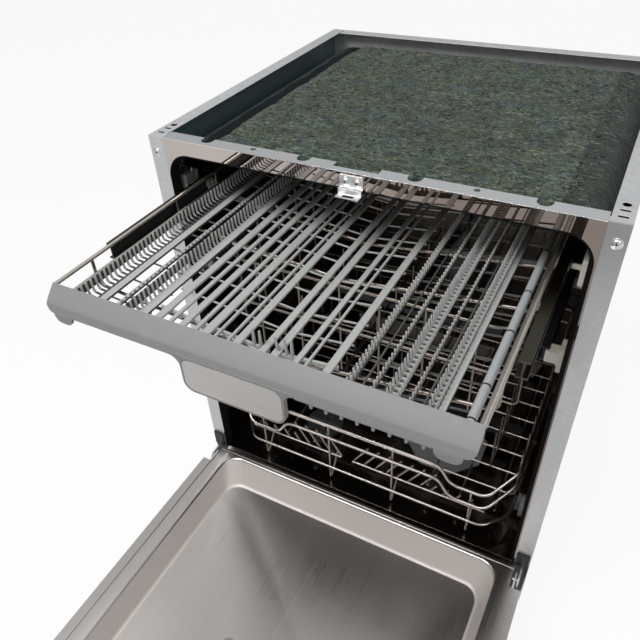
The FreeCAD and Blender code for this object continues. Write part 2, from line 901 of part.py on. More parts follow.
# Arm with two tapered wings on a hub that turns on a pin
def spray_arm(radius, y, hub_bottom, hub_half):
    wing = arm_tip_half / arm_hub_half * hub_half
    tip = wing / 2
    blade = [
        (-radius, y - tip), (-radius + tip, y - wing), (0, y - hub_half),
        (radius - tip, y - wing), (radius, y - tip), (radius, y + tip), (radius - tip, y + wing),
        (0, y + hub_half), (-radius + tip, y + wing), (-radius, y + tip),
    ]
    blade_bottom = hub_bottom + arm_hub_drop
    body = plate_xy(blade, blade_bottom, blade_bottom + arm_thickness)
    hub = prism(12, arm_hub_radius, arm_hub_drop, (0, y, hub_bottom), (0, 0, 1))
    bore = cylinder(arm_pin_radius + arm_pin_clearance, cabinet_height, (0, y, 0), (0, 0, 1))
    return fuse_all([body, hub]).cut(bore)


def lower_spray_arm():
    return spray_arm(lower_arm_radius, arm_axis_y, track_height - arm_hub_drop / 2 + fit_gap, arm_hub_half)


def feed_tube_z():
    return upper_floor - thin_wire_radius - feed_tube_radius


def upper_arm_bottom():
    return feed_tube_z() - feed_tube_drop - arm_hub_drop - arm_thickness


def upper_spray_arm():
    return spray_arm(upper_arm_radius, arm_axis_y, upper_arm_bottom(), arm_hub_half)


def feed_duct():
    back = box(-duct_half, duct_half, tub_back - duct_depth, tub_back, track_height, opening_top)
    top = opening_top - duct_depth
    roof = box(-duct_half, duct_half, ceiling_arm_y - duct_half, tub_back, top, opening_top)
    shoulder = ceiling_arm_z + arm_hub_drop + arm_thickness / 2 + fit_gap
    stem = prism(12, post_radius, top - shoulder, (0, ceiling_arm_y, shoulder), (0, 0, 1))
    pin = cylinder(arm_pin_radius, shoulder - ceiling_arm_z, (0, ceiling_arm_y, ceiling_arm_z), (0, 0, 1))
    return fuse_all([back, roof, stem, pin])


def ceiling_spray_arm():
    half = arm_tip_half
    reach = ceiling_arm_radius
    corners = cut_rectangle(-reach, reach, ceiling_arm_y - half, ceiling_arm_y + half, half / 2)
    top = ceiling_arm_z + arm_hub_drop + arm_thickness / 2
    blade = plate_xy(corners, top - arm_hub_drop, top)
    hub = prism(12, arm_hub_radius, top - ceiling_arm_z, (0, ceiling_arm_y, ceiling_arm_z), (0, 0, 1))
    bore = cylinder(arm_pin_radius + arm_pin_clearance, cabinet_height, (0, ceiling_arm_y, 0), (0, 0, 1))
    return fuse_all([blade, hub]).cut(bore)


# Door

def hinge_brackets():
    rear = base_front
    flat = corner_share * bracket_nose
    corners = [
        (pivot_y - bracket_nose, pivot_z - flat), (pivot_y - flat, pivot_z - bracket_nose),
        (rear, pivot_z - 3 * bracket_nose), (rear, pivot_z + bracket_nose),
        (pivot_y - flat, pivot_z + bracket_nose), (pivot_y - bracket_nose, pivot_z + flat),
    ]
    plate = plate_yz(corners, bracket_x, bracket_x + arm_plate)
    foot = box(bracket_x - post_return, bracket_x + arm_plate, rear - arm_plate, rear,
               pivot_z - 3 * bracket_nose, pivot_z + bracket_nose)
    pin_start = arm_x - arm_plate
    pin = cylinder(pin_radius, bracket_x - pin_start, (pin_start, pivot_y, pivot_z), (1, 0, 0))
    return pair(fuse_all([plate, foot, pin]))


def hinge_arms():
    under = liner_plane - liner_edge
    tail = pivot_y - arm_length
    flat = corner_share * arm_nose
    notch = door_heel_y - hinge_notch_length
    corners = [
        (pivot_y + flat, pivot_z - arm_nose), (pivot_y + arm_nose, pivot_z - flat),
        (pivot_y + arm_nose, pivot_z + flat), (pivot_y + flat, pivot_z + arm_nose),
        (notch, pivot_z + arm_nose), (notch, under), (tail, under), (tail, pivot_z),
        (tail + arm_nose, pivot_z - arm_nose),
    ]
    plate = plate_yz(corners, arm_x, arm_x + arm_plate)
    bore = cylinder(pin_radius + pin_clearance, arm_plate, (arm_x, pivot_y, pivot_z), (1, 0, 0))
    return pair(plate.cut(bore))


def hinge_covers():
    inner = frame_half + sheet
    corners = [
        (inner, track_height), (door_half, track_height),
        (door_half, cover_top), (inner, cover_top, cover_thickness),
    ]
    return pair(plate_xz(corners, -cover_thickness, 0))


def door_liner():
    edge = box(-door_half, door_half, panel_start_y, door_heel_y, liner_plane - liner_edge, liner_plane)
    notch_y = door_heel_y - hinge_notch_length
    notch = box(hinge_notch_half, door_half, notch_y, door_heel_y, liner_plane - liner_edge, liner_plane)
    edge = edge.cut([notch, mirrored(notch)])
    step_half = door_half - liner_step_inset
    step = box(-step_half, step_half, panel_start_y + liner_edge, door_heel_y - liner_edge,
               liner_plane - liner_step, liner_plane)
    return edge.fuse(recess(sheet)).cut(step).cut(recess(0)).cut(dispenser_window())


def recess(grow):
    near = door_heel_y - recess_heel + grow
    far = panel_start_y + recess_far_margin - grow
    half = recess_half + grow
    top = rectangle(-half, half, far, near, recess_radius)
    bottom = rectangle(
        -half + recess_draft, half - recess_draft,
        far + recess_heel_draft, near - recess_heel_draft, recess_radius,
    )
    return pan(top, bottom, liner_plane, recess_floor - grow)


def dispenser_near():
    return door_heel_y - dispenser_from_heel


def dispenser_window():
    near = dispenser_near() - dispenser_inset
    far = dispenser_near() - dispenser_length + dispenser_inset
    half = dispenser_half - dispenser_inset
    return box(-half, half, far, near, recess_floor - 2 * sheet, recess_floor + sheet)


def dispenser_body():
    near = dispenser_near()
    far = near - dispenser_length
    top = recess_floor + dispenser_flange
    edge = rectangle(-dispenser_half, dispenser_half, far, near, dispenser_inset)
    flange = plate_xy(edge, recess_floor, top)
    inset = dispenser_inset + fit_gap
    well = box(-dispenser_half + inset, dispenser_half - inset, far + inset, near - inset,
               door_outer_z + 2 * sheet, recess_floor)
    chamber = box(
        chamber_x - chamber_half, chamber_x + chamber_half,
        far + chamber_margin, near - chamber_margin - lid_margin,
        door_outer_z + 2 * sheet + base_wall, top,
    )
    return fuse_all([flange, well]).cut(chamber)


def lid_hinge_y():
    return dispenser_near() - chamber_margin + lid_hinge_radius


def dispenser_lid():
    bottom = recess_floor + dispenser_flange + fit_gap
    far = dispenser_near() - dispenser_length + chamber_margin - lid_margin
    half = chamber_half + lid_margin
    axis_z = bottom + lid_hinge_radius
    plate = box(chamber_x - half, chamber_x + half, far, lid_hinge_y(), bottom, bottom + lid_thickness)
    barrel = cylinder(lid_hinge_radius, 2 * half, (chamber_x - half, lid_hinge_y(), axis_z), (1, 0, 0))
    return fuse_all([plate, barrel])


def rinse_cap():
    bottom = recess_floor + dispenser_flange
    y = dispenser_near() - dispenser_length / 2
    top = bottom + rinse_height
    reach = rinse_radius - base_wall
    disc = prism(12, rinse_radius, rinse_height, (rinse_x, y, bottom), (0, 0, 1))
    hub = cylinder(2 * base_wall, base_wall, (rinse_x, y, top), (0, 0, 1))
    grip = box(rinse_x - reach, rinse_x + reach, y - base_wall, y + base_wall, top, top + base_wall)
    return fuse_all([disc, hub, grip])


def door_outer_panel():
    skin = box(-door_half, door_half, door_far_y, door_heel_y, door_outer_z, door_outer_z + sheet)
    first = door_heel_y - front_hole_first
    for x in (-front_hole_x, front_hole_x):
        for y in (first, first - front_hole_spacing):
            skin = skin.cut(cylinder(front_hole_radius, sheet, (x, y, door_outer_z), (0, 0, 1)))
    side = box(door_half - sheet, door_half, panel_start_y, door_heel_y - hinge_notch_length,
               door_outer_z, liner_plane - liner_edge)
    return fuse_all([skin, side, mirrored(side)])


def strike_pocket_y():
    return pivot_y - (strike_bottom - pivot_z)


def control_panel():
    body = box(-door_half, door_half, door_far_y, panel_start_y, door_outer_z + sheet, liner_plane)
    crown = 3.0
    body = body.makeFillet(crown, [edge for edge in body.Edges if is_free_edge(edge)])
    pocket = box(
        -pocket_half, pocket_half, strike_pocket_y() - (strike_step - strike_bottom) - pocket_margin / 2,
        strike_pocket_y() + pocket_margin, liner_plane - strike_reach - pocket_margin, liner_plane,
    )
    slot = latch_channel(fit_gap)
    wells = []
    for x in button_x.values():
        wells.append(key_block(x, fit_gap, door_far_y, door_far_y + button_well))
    return body.cut([pocket, slot] + wells)


def is_free_edge(edge):
    middle = edge.CenterOfMass
    return abs(middle.y - door_far_y) < 1e-6 and abs(middle.x) < 1e-6


def button_z():
    return (door_outer_z + sheet + liner_plane) / 2


def key_block(x, grow, y0, y1):
    half = key_half + grow
    rise = key_rise + grow
    return box(x - half, x + half, y0, y1, button_z() - rise, button_z() + rise)


def button(x):
    return key_block(x, 0, door_far_y - button_proud, door_far_y + button_body)


# Lock bolt that slides along the door into the strike's slot
def latch_channel(grow):
    start = strike_pocket_y() + pocket_margin
    middle_z = liner_plane + strike_slot_y() - (pivot_y + liner_rise)
    return box(
        -latch_half - grow, latch_half + grow, start, start + latch_length + pocket_margin,
        middle_z - latch_thickness / 2 - grow, middle_z + latch_thickness / 2 + grow,
    )


def door_latch():
    channel = latch_channel(0)
    low = channel.BoundBox
    return box(low.XMin, low.XMax, low.YMin, low.YMin + latch_length, low.ZMin, low.ZMax)


# Cutlery tray

def tray_level(x):
    return tray_centre_z + abs(x) * math.tan(tray_slope)


def bar_back():
    return tray_front + bar_depth


def tray_front_bar():
    crease_y = tray_front + bar_crease_run
    wall = bar_wall
    profile = [
        (bar_back(), bar_top), (crease_y, bar_crease_z, wall), (tray_front, bar_bottom),
        (tray_front + wall, bar_bottom), (crease_y + wall, bar_crease_z - wall, 0.5),
        (bar_back(), bar_top - wall),
    ]
    shell = plate_yz(profile, -bar_half, bar_half)
    face = [
        (-bar_half, bar_bottom, bar_end_radius), (bar_half, bar_bottom, bar_end_radius),
        (bar_half, bar_top), (-bar_half, bar_top),
    ]
    front_shape = plate_xz(face, tray_front, bar_back())
    cap_profile = [
        (bar_back(), bar_top), (crease_y, bar_crease_z, wall), (tray_front, bar_bottom),
        (bar_back() - wall, bar_bottom), (bar_back(), bar_bottom + bar_end_radius),
    ]
    cap = plate_yz(cap_profile, bar_half - wall, bar_half)
    rib_profile = [
        (bar_back(), bar_top - wall), (crease_y + wall, bar_crease_z - wall), (tray_front + wall, bar_bottom),
    ]
    pieces = [fuse_all([shell, cap, mirrored(cap)]).common(front_shape), badge_housing()]
    for x in spread(-bar_half, bar_half, 9)[1:-1]:
        pieces.append(plate_yz(rib_profile, x - wall / 2, x + wall / 2))
    tab_outer = bar_half - tab_from_end
    tab_corners = [
        (tab_outer - tab_width, bar_bottom), (tab_outer, bar_bottom),
        (tab_outer, bar_bottom - tab_drop, bar_end_radius - 1),
        (tab_outer - tab_width, bar_bottom - tab_drop, bar_end_radius - 1),
    ]
    tab = plate_xz(tab_corners, tray_front, tray_front + wall)
    pieces += [tab, mirrored(tab)]
    return fuse_all(pieces + [slotted_lip()])


def badge_housing():
    flare = badge_half + badge_radius
    corners = [
        (-flare, bar_bottom), (-badge_half, bar_bottom, badge_radius - 0.1),
        (-badge_half, badge_bottom, badge_radius), (badge_half, badge_bottom, badge_radius),
        (badge_half, bar_bottom, badge_radius - 0.1), (flare, bar_bottom),
        (flare, bar_bottom + bar_wall), (-flare, bar_bottom + bar_wall),
    ]
    body = plate_xz(corners, tray_front, tray_front + badge_depth)
    return body.cut(badge_plate_solid(0))


def badge_plate_solid(gap):
    half = badge_half - badge_frame - gap
    low = badge_bottom + badge_frame + gap
    corners = rectangle(-half, half, low, bar_bottom - gap, badge_radius - badge_frame)
    return plate_xz(corners, tray_front, tray_front + badge_plate_thickness)


# Row of small pegs that hangs under the bar on the right of the badge
def slotted_lip():
    start = badge_half + badge_radius
    stop = bar_half - lip_end
    rail = bar_bottom - lip_rail
    corners = [(start, bar_bottom), (start, rail)]
    x = start + lip_pitch
    while x + lip_peg < stop:
        corners += [(x, rail), (x, bar_bottom - lip_drop)]
        corners += [(x + lip_peg, bar_bottom - lip_drop), (x + lip_peg, rail)]
        x += lip_pitch
    corners += [(stop, rail), (stop, bar_bottom)]
    return plate_xz(corners, tray_front + fit_gap, tray_front + bar_wall)


def sloped_strip(x0, x1, top_drop, height, y0, y1):
    corners = []
    for x, drop in ((x0, top_drop + height), (x1, top_drop + height), (x1, top_drop), (x0, top_drop)):
        corners.append((x, tray_level(x) - drop))
    return plate_xz(corners, y0, y1)


# Upright comb with pointed teeth, which stand close on a fin comb and apart on a peg comb
def comb(x, thickness, height, tooth):
    start = bar_back() + 1.0
    edge = max(abs(x - thickness / 2), abs(x + thickness / 2))
    base = tray_level(edge) - slat_thickness
    root = base + slat_thickness
    crest = root + height
    pitch = {"fin": fin_pitch, "wide": 2 * fin_pitch, "late": 2 * fin_pitch, "peg": peg_pitch}[tooth]
    first = start + (fin_pitch if tooth == "late" else 0.0)
    corners = [(start, base)]
    if tooth == "late":
        corners.append((start, root))
    for index in range(int((tray_back - first) / pitch)):
        y = first + pitch * index
        corners += [(y, root), (y + pitch / 2, crest)]
    corners += [(tray_back, root), (tray_back, base)]
    return plate_yz(corners, x - thickness / 2, x + thickness / 2)


def rib_places(share):
    start = bar_back() + 1.0
    count = int((tray_back - start - rib_width) / (rib_pitch * share)) + 1
    return spread(start, tray_back - rib_width, count)


# Ribs of the centre inserts: one at the front end, then one at every second place
def centre_rib_places():
    places = rib_places(1)
    return places[:1] + places[1::2]


def insert(slats, combs, span, pegs):
    start = bar_back() + 1.0
    x0, x1 = (x * tray_share for x in span)
    solids = []
    for left, right in slats:
        solids.append(sloped_strip(left * tray_share, right * tray_share, 0, slat_thickness, start, tray_back))
    for place, beside, thickness, height, tooth in combs:
        solids.append(comb(place * tray_share + beside, thickness, height, tooth))
    for y in rib_places(2) if combs else centre_rib_places():
        solids.append(sloped_strip(x0, x1, slat_thickness, rib_height, y, y + rib_width))
    peg_y = rib_places(1)[cradle_under_centre_rib]
    for place in pegs:
        x = place * tray_share
        half = peg_size / 2
        base = tray_level(abs(x) + half) - slat_thickness
        foot = base + slat_thickness if abs(place) < peg_on_slat else base
        solids.append(box(x - half, x + half, peg_y, peg_y + rib_width, foot, base + peg_height))
    return Part.makeCompound(solids)


def left_comb_insert():
    return insert(left_slats, left_combs, left_comb_span, ())


def left_centre_insert():
    return insert(left_centre_slats, (), left_centre_span, left_peg_x)


def right_centre_insert():
    return insert(right_centre_slats, (), right_centre_span, right_peg_x)


def right_comb_insert():
    return insert(right_slats, right_combs, right_comb_span, ())


# Cradle wires, all but one under a rib of the inserts, which rest on them
def cradle_places():
    comb_ribs = rib_places(2)
    carried = [rib_places(1)[cradle_under_centre_rib]] + [comb_ribs[index] for index in cradles_under_comb_ribs]
    return [cradle_open_y] + [y + rib_width / 2 for y in carried]


def cradle_points(y):
    drop = slat_thickness + rib_height + fit_gap + cradle_wire_radius / math.cos(tray_slope)
    side_z = tray_level(side_wire_x) - drop
    top_z = side_wire_z - side_wire_radius
    return [
        (-side_wire_x, y, top_z), (-side_wire_x, y, side_z), (0, y, tray_level(0) - drop),
        (side_wire_x, y, side_z), (side_wire_x, y, top_z),
    ]


def tray_frame():
    wires = []
    for y in cradle_places():
        wires += wire_runs(cradle_points(y), cradle_wire_radius)
    loop = [
        (-side_wire_x, bar_back(), side_wire_z), (-side_wire_x, tray_back, side_wire_z),
        (side_wire_x, tray_back, side_wire_z), (side_wire_x, bar_back(), side_wire_z),
    ]
    wires += wire_runs(loop, side_wire_radius)
    for x in (-low_wire_x, low_wire_x):
        wires += wire_runs([(x, bar_back(), low_wire_z), (x, tray_back, low_wire_z)], side_wire_radius)
    return Part.makeCompound(wires)


# Grey tube along the right side, with the shoes that slide in the rails
def tray_side_fittings():
    bottom = tray_level(tube_inner_x + tube_width) - slat_thickness
    section = cut_rectangle(tube_inner_x, tube_inner_x + tube_width, bottom, bottom + tube_height, 2.0)
    solids = [plate_xz(section, bar_back() + 1.0, tray_back)]
    for y in tray_shoe_y:
        shoe = rail_shoe(y, tray_rail_bottom, side_wire_x + cradle_wire_radius)
        solids += [shoe, mirrored(shoe)]
    return Part.makeCompound(solids)


# Shoe that runs in the inner channel of a rail
def rail_shoe(y, rail_bottom, start_x):
    low = rail_bottom + rail_flange + fit_gap
    high = rail_bottom + rail_height - rail_flange - fit_gap
    web_x = rail_inner_x + (rail_width - rail_web) / 2
    block = box(rail_inner_x + 1.0, web_x - fit_gap, y, y + shoe_length, low, high)
    ear = box(start_x, rail_inner_x + 1.0, y, y + shoe_length, low + 2.0, high - 2.0)
    return fuse_all([block, ear])


# Rails

def rail_pair(front, bottom):
    top = bottom + rail_height
    web_x = rail_inner_x + (rail_width - rail_web) / 2
    web_end = web_x + rail_web
    low = bottom + rail_flange
    high = top - rail_flange
    corners = [
        (rail_inner_x, bottom), (rail_outer_x, bottom), (rail_outer_x, low), (web_end, low), (web_end, high),
        (rail_outer_x, high), (rail_outer_x, top), (rail_inner_x, top), (rail_inner_x, high), (web_x, high),
        (web_x, low), (rail_inner_x, low),
    ]
    return pair(plate_xz(corners, front, front + rail_length))


def roller_start():
    return rail_inner_x + (rail_width + rail_web) / 2 + 1.0


def wall_rollers(rail_bottom):
    axis_z = rail_bottom + rail_height / 2
    return pair(cylinder(roller_radius, roller_width, (roller_start(), roller_y, axis_z), (1, 0, 0)))


def rail_bracket(rail_bottom, y, nose_start, nose_length, nose_height):
    inner = opening_half - bracket_plate
    axis_z = rail_bottom + rail_height / 2
    plate = box(inner, opening_half, y - bracket_length / 2, y + bracket_length / 2,
                axis_z - bracket_height / 2, axis_z + bracket_height / 2)
    nose = box(nose_start, inner, y - nose_length / 2, y + nose_length / 2,
               axis_z - nose_height / 2, axis_z + nose_height / 2)
    return fuse_all([plate, nose])


# Brackets on the tub's walls: an axle stub behind each tray roller, and blocks that guide the rails
def rail_brackets():
    axle_start = roller_start() + roller_width + fit_gap
    axle = 2 * axle_radius
    guide_height = 2 * roller_radius
    solids = [rail_bracket(tray_rail_bottom, roller_y, axle_start, axle, axle)]
    guides = ((tray_rail_bottom, guide_y), (upper_rail_bottom, roller_y), (upper_rail_bottom, guide_y))
    for rail_bottom, y in guides:
        solids.append(rail_bracket(rail_bottom, y, roller_start(), guide_length, guide_height))
    return Part.makeCompound(solids + [mirrored(solid) for solid in solids])


# Baskets

def ring_loop(half, corner_x, run, front, back, z):
    return [
        (0, front, z), (corner_x, front, z), (half, front + run, z), (half, back, z), (-half, back, z),
        (-half, front + run, z), (-corner_x, front, z), (0, front, z),
    ]


def upper_basket():
    wires = []
    corner_x = upper_half - upper_chamfer
    inset = rim_wire_radius + thin_wire_radius
    for z in (upper_top, upper_mid):
        ring = ring_loop(upper_half, corner_x, upper_chamfer, upper_front, upper_back, z)
        wires += wire_runs(ring, rim_wire_radius)
    side = upper_half - inset
    for y in spread(upper_front + upper_chamfer + 2 * inset, upper_back - 2 * inset, upper_cross_count):
        points = [
            (-side, y, upper_top), (-side, y, upper_floor), (side, y, upper_floor), (side, y, upper_top),
        ]
        wires += wire_runs(points, thin_wire_radius)
    under = upper_floor - 2 * thin_wire_radius
    for x in upper_long_x:
        points = [
            (x, upper_front + inset, upper_top), (x, upper_front + inset, under),
            (x, upper_back - inset, under), (x, upper_back - inset, upper_top),
        ]
        wires += wire_runs(points, thin_wire_radius)
    for x in upper_tine_x:
        rail_z = upper_floor + 2 * thin_wire_radius
        ends = spread(upper_front + 2 * upper_chamfer, upper_back - upper_chamfer, upper_tine_count)
        wires += wire_runs([(x, ends[0], rail_z), (x, ends[-1], rail_z)], thin_wire_radius)
        for y in ends:
            foot = rail_z + thin_wire_radius
            wires += wire_runs([(x, y, foot), (x, y, foot + upper_tine_height)], thin_wire_radius)
    return Part.makeCompound(wires)


# Pipe that feeds the upper arm, with the pin the arm turns on, and the shoes of the upper basket
def upper_basket_fittings():
    hub_top = upper_arm_bottom() + arm_hub_drop + arm_thickness
    tube = prism(8, feed_tube_radius, upper_back - arm_axis_y, (0, arm_axis_y, feed_tube_z()), (0, 1, 0))
    seat_start = hub_top + fit_gap
    seat = prism(12, post_radius, feed_tube_z() - seat_start, (0, arm_axis_y, seat_start), (0, 0, 1))
    low = upper_arm_bottom()
    pin = cylinder(arm_pin_radius, seat_start - low, (0, arm_axis_y, low), (0, 0, 1))
    solids = [fuse_all([tube, seat, pin])]
    for y in upper_shoe_y:
        shoe = rail_shoe(y, upper_rail_bottom, upper_half + rim_wire_radius)
        strap = box(upper_half + rim_wire_radius, rail_inner_x - fit_gap, y, y + shoe_length,
                    upper_rail_bottom, upper_top)
        shoe = fuse_all([shoe, strap])
        solids += [shoe, mirrored(shoe)]
    return Part.makeCompound(solids)


# Rim wire with a dip near each front corner
def dipped_rim(z, half):
    low = z - lower_dip
    right = [
        (0, lower_front, z), (lower_dip_inner, lower_front, z), (lower_dip_outer, lower_front, low),
        (lower_corner_x, lower_front, low), (half, lower_front + lower_corner_run, z), (half, lower_back, z),
    ]
    left = [(-x, y, height) for x, y, height in reversed(right)]
    return right + left


def lower_basket():
    wires = []
    inset = rim_wire_radius + thin_wire_radius
    wires += wire_runs(dipped_rim(lower_top, lower_half), rim_wire_radius)
    wires += wire_runs(dipped_rim(lower_second, lower_half), rim_wire_radius)
    floor_ring = ring_loop(lower_half, lower_corner_x, lower_corner_run, lower_front, lower_back, lower_floor)
    wires += wire_runs(floor_ring, rim_wire_radius)
    side = lower_half - inset
    for y in spread(lower_front + 2 * lower_corner_run, lower_back - 2 * inset, lower_cross_count):
        points = [
            (-side, y, lower_top), (-side, y, lower_floor), (side, y, lower_floor), (side, y, lower_top),
        ]
        wires += wire_runs(points, thin_wire_radius)
    for x in lower_long_x:
        under = lower_floor - 2 * thin_wire_radius
        start = lower_front + lower_corner_run
        points = [(x, start, under), (x, lower_back - inset, under), (x, lower_back - inset, lower_top)]
        wires += wire_runs(points, thin_wire_radius)
    front = lower_front + inset
    for x in lower_foot_x:
        top = lower_top - lower_dip if abs(x) > lower_dip_inner else lower_top
        bend = 2 * thin_wire_radius
        points = [
            (x, front, top), (x, front, lower_foot_z + bend), (x, front + bend, lower_foot_z),
            (x, front + lower_foot_run, lower_floor + thin_wire_radius),
        ]
        wires += wire_runs(points, thin_wire_radius)
    rail_y = front + 2 * thin_wire_radius
    for direction in (-1, 1):
        near = lower_long_x[3] / 4 * direction
        far = lower_corner_x * direction
        ends = [(near, rail_y, lower_comb_rail), (far, rail_y, lower_comb_rail)]
        wires += wire_runs(ends, thin_wire_radius)
        for x in spread(near + 10 * direction, far - lower_comb_lean * direction, lower_comb_count):
            dipped = abs(x) + lower_comb_lean > lower_dip_inner
            top = lower_second - (lower_dip if dipped else inset)
            share = (top - lower_comb_rail) / (lower_second - lower_comb_rail)
            foot = (x, rail_y + 2 * thin_wire_radius, lower_comb_rail - thin_wire_radius)
            tip = (x + lower_comb_lean * share * direction, rail_y + 2 * thin_wire_radius, top)
            wires += wire_runs([foot, tip], thin_wire_radius)
    for x in lower_tine_x:
        rail_z = lower_floor + 2 * thin_wire_radius
        ends = spread(lower_front + 3 * lower_corner_run, lower_back - lower_corner_run, lower_tine_count)
        wires += wire_runs([(x, ends[0], rail_z), (x, ends[-1], rail_z)], thin_wire_radius)
        for y in ends:
            foot = rail_z + thin_wire_radius
            wires += wire_runs([(x, y, foot), (x, y, foot + lower_tine_height)], thin_wire_radius)
    for y in wheel_y:
        bearer = wheel_bearer(y)
        wires += [bearer, mirrored(bearer)]
    return Part.makeCompound(wires)


def wheel_start():
    return opening_half - wheel_wall_gap - wheel_width


def wheel_z():
    return track_height + wheel_radius + fit_gap


# Plate under the basket's side with the stub that its wheel turns on
def wheel_bearer(y):
    inner = lower_half - rim_wire_radius
    plate = box(inner, wheel_start() - fit_gap, y - wheel_radius / 2, y + wheel_radius / 2,
                wheel_z() - wheel_hub_radius, lower_floor - rim_wire_radius)
    stub_flat = axle_radius * math.cos(math.pi / 12)
    stub = prism(12, stub_flat, wheel_width + fit_gap, (wheel_start() - fit_gap, y, wheel_z()), (1, 0, 0))
    return fuse_all([plate, stub])


def wheel_pair(y):
    centre = (wheel_start(), y, wheel_z())
    tread = cylinder(wheel_radius, wheel_width, centre, (1, 0, 0))
    return pair(tread.cut(prism(12, axle_radius + pin_clearance, wheel_width, centre, (1, 0, 0))))


def export(name, shape):
    moved = shape.copy()
    moved.translate(Vector(0, -footprint_middle, 0))
    moved.exportStep(os.path.join("parts", name + ".step"))


def main():
    os.makedirs("parts", exist_ok=True)
    right_panel = side_panel()
    pieces = {
        "tub_shell": tub_shell(),
        "tub_back": tub_back_wall(),
        "tub_floor": tub_floor(),
        "front_frame": front_frame(),
        "left_side_panel": mirrored(right_panel),
        "right_side_panel": right_panel,
        "rear_panel": rear_panel(),
        "bitumen_sheet": bitumen_sheet(),
        "felt_mat": felt_mat(),
        "door_gasket": door_gasket(),
        "door_strike": door_strike(),
        "frame_screws": frame_screws(),
        "base_tray": base_tray(),
        "levelling_feet": levelling_feet(),
        "counterweight": counterweight(),
        "sump": sump(),
        "tub_filter": tub_filter(),
        "circulation_pump": circulation_pump(),
        "drain_pump": drain_pump(),
        "softener": softener(),
        "salt_cap": salt_cap(),
        "inlet_valve": inlet_valve(),
        "drain_outlet": drain_outlet(),
        "mains_gland": mains_gland(),
        "lower_arm_post": lower_arm_post(),
        "lower_spray_arm": lower_spray_arm(),
        "upper_spray_arm": upper_spray_arm(),
        "feed_duct": feed_duct(),
        "ceiling_spray_arm": ceiling_spray_arm(),
        "hinge_brackets": hinge_brackets(),
        "hinge_arms": hinge_arms(),
        "hinge_covers": hinge_covers(),
        "door_liner": door_liner(),
        "dispenser_body": dispenser_body(),
        "dispenser_lid": dispenser_lid(),
        "rinse_cap": rinse_cap(),
        "door_outer_panel": door_outer_panel(),
        "control_panel": control_panel(),
        "door_latch": door_latch(),
        "tray_front_bar": tray_front_bar(),
        "badge_plate": badge_plate_solid(fit_gap),
        "tray_frame": tray_frame(),
        "left_comb_insert": left_comb_insert(),
        "left_centre_insert": left_centre_insert(),
        "right_centre_insert": right_centre_insert(),
        "right_comb_insert": right_comb_insert(),
        "tray_side_fittings": tray_side_fittings(),
        "tray_rails": rail_pair(tray_rail_front, tray_rail_bottom),
        "tray_wall_rollers": wall_rollers(tray_rail_bottom),
        "upper_rails": rail_pair(upper_rail_front, upper_rail_bottom),
        "rail_brackets": rail_brackets(),
        "upper_basket": upper_basket(),
        "upper_basket_fittings": upper_basket_fittings(),
        "lower_basket": lower_basket(),
        "front_wheels": wheel_pair(wheel_y[0]),
        "rear_wheels": wheel_pair(wheel_y[1]),
    }
    for name, x in button_x.items():
        pieces[name] = button(x)
    for name, shape in pieces.items():
        export(name, shape)
    print(len(pieces), "nodes,", sum(len(shape.Solids) for shape in pieces.values()), "solids")


main()
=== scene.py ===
import bpy
import bmesh
import json
import math
import random
from mathutils import Matrix, Vector, noise


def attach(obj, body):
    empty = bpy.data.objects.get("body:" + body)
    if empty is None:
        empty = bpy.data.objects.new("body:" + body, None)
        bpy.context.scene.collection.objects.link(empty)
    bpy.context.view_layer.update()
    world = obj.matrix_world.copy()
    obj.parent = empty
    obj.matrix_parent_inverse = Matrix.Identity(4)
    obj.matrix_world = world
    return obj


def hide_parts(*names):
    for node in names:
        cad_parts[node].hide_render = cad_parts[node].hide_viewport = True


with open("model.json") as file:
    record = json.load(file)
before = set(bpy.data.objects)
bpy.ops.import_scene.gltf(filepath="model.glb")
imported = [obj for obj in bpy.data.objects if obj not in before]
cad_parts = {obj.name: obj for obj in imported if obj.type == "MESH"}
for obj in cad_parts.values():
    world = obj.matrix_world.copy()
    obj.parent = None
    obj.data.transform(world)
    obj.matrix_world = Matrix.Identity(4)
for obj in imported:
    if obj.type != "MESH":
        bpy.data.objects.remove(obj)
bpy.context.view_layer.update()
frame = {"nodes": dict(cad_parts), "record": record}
scene = bpy.context.scene
mm = 0.001
frontPlane = 48.25  # mm from the frame's origin to the front of the side posts
trayZ = 705.0  # mm, lowest line of the tray's shallow V
traySlope = math.tan(math.radians(6.0))
bodyOf = {node: body for body, group in frame["record"]["behaviour"]["bodies"].items() for node in group}
slotOf = {entry["node"]: entry["material_slot"] for entry in frame["record"]["subparts"]}
print("frame loaded:", len(bodyOf), "nodes")


# point in metres, from mm measured off the front of the side posts
def at(x, y, z):
    return Vector((x * mm, (y + frontPlane) * mm, z * mm))


# camera, at the place that fits the photograph
cameraSetup = {
    "place": (290.03, -597.22, 1133.59),
    "right": (0.883864, 0.465595, -0.044791),
    "up": (-0.260738, 0.569936, 0.779223),
    "back": (0.38833, -0.677049, 0.625144),
    "lens": 35.275, "sensor": 36.0, "nearest": 0.01, "farthest": 60.0,
}


def addCamera(setup):
    data = bpy.data.cameras.new("photoCamera")
    data.sensor_fit = "HORIZONTAL"
    data.sensor_width = setup["sensor"]
    data.lens = setup["lens"]
    data.clip_start = setup["nearest"]
    data.clip_end = setup["farthest"]
    camera = bpy.data.objects.new("photoCamera", data)
    scene.collection.objects.link(camera)
    turn = Matrix((setup["right"], setup["up"], setup["back"])).transposed()
    camera.matrix_world = Matrix.Translation(at(*setup["place"])) @ turn.to_4x4()
    scene.camera = camera


addCamera(cameraSetup)


# a link or a plain value, put on a socket
def plug(tree, value, socket):
    if isinstance(value, Wire):
        tree.links.new(value.socket, socket)
    else:
        socket.default_value = value


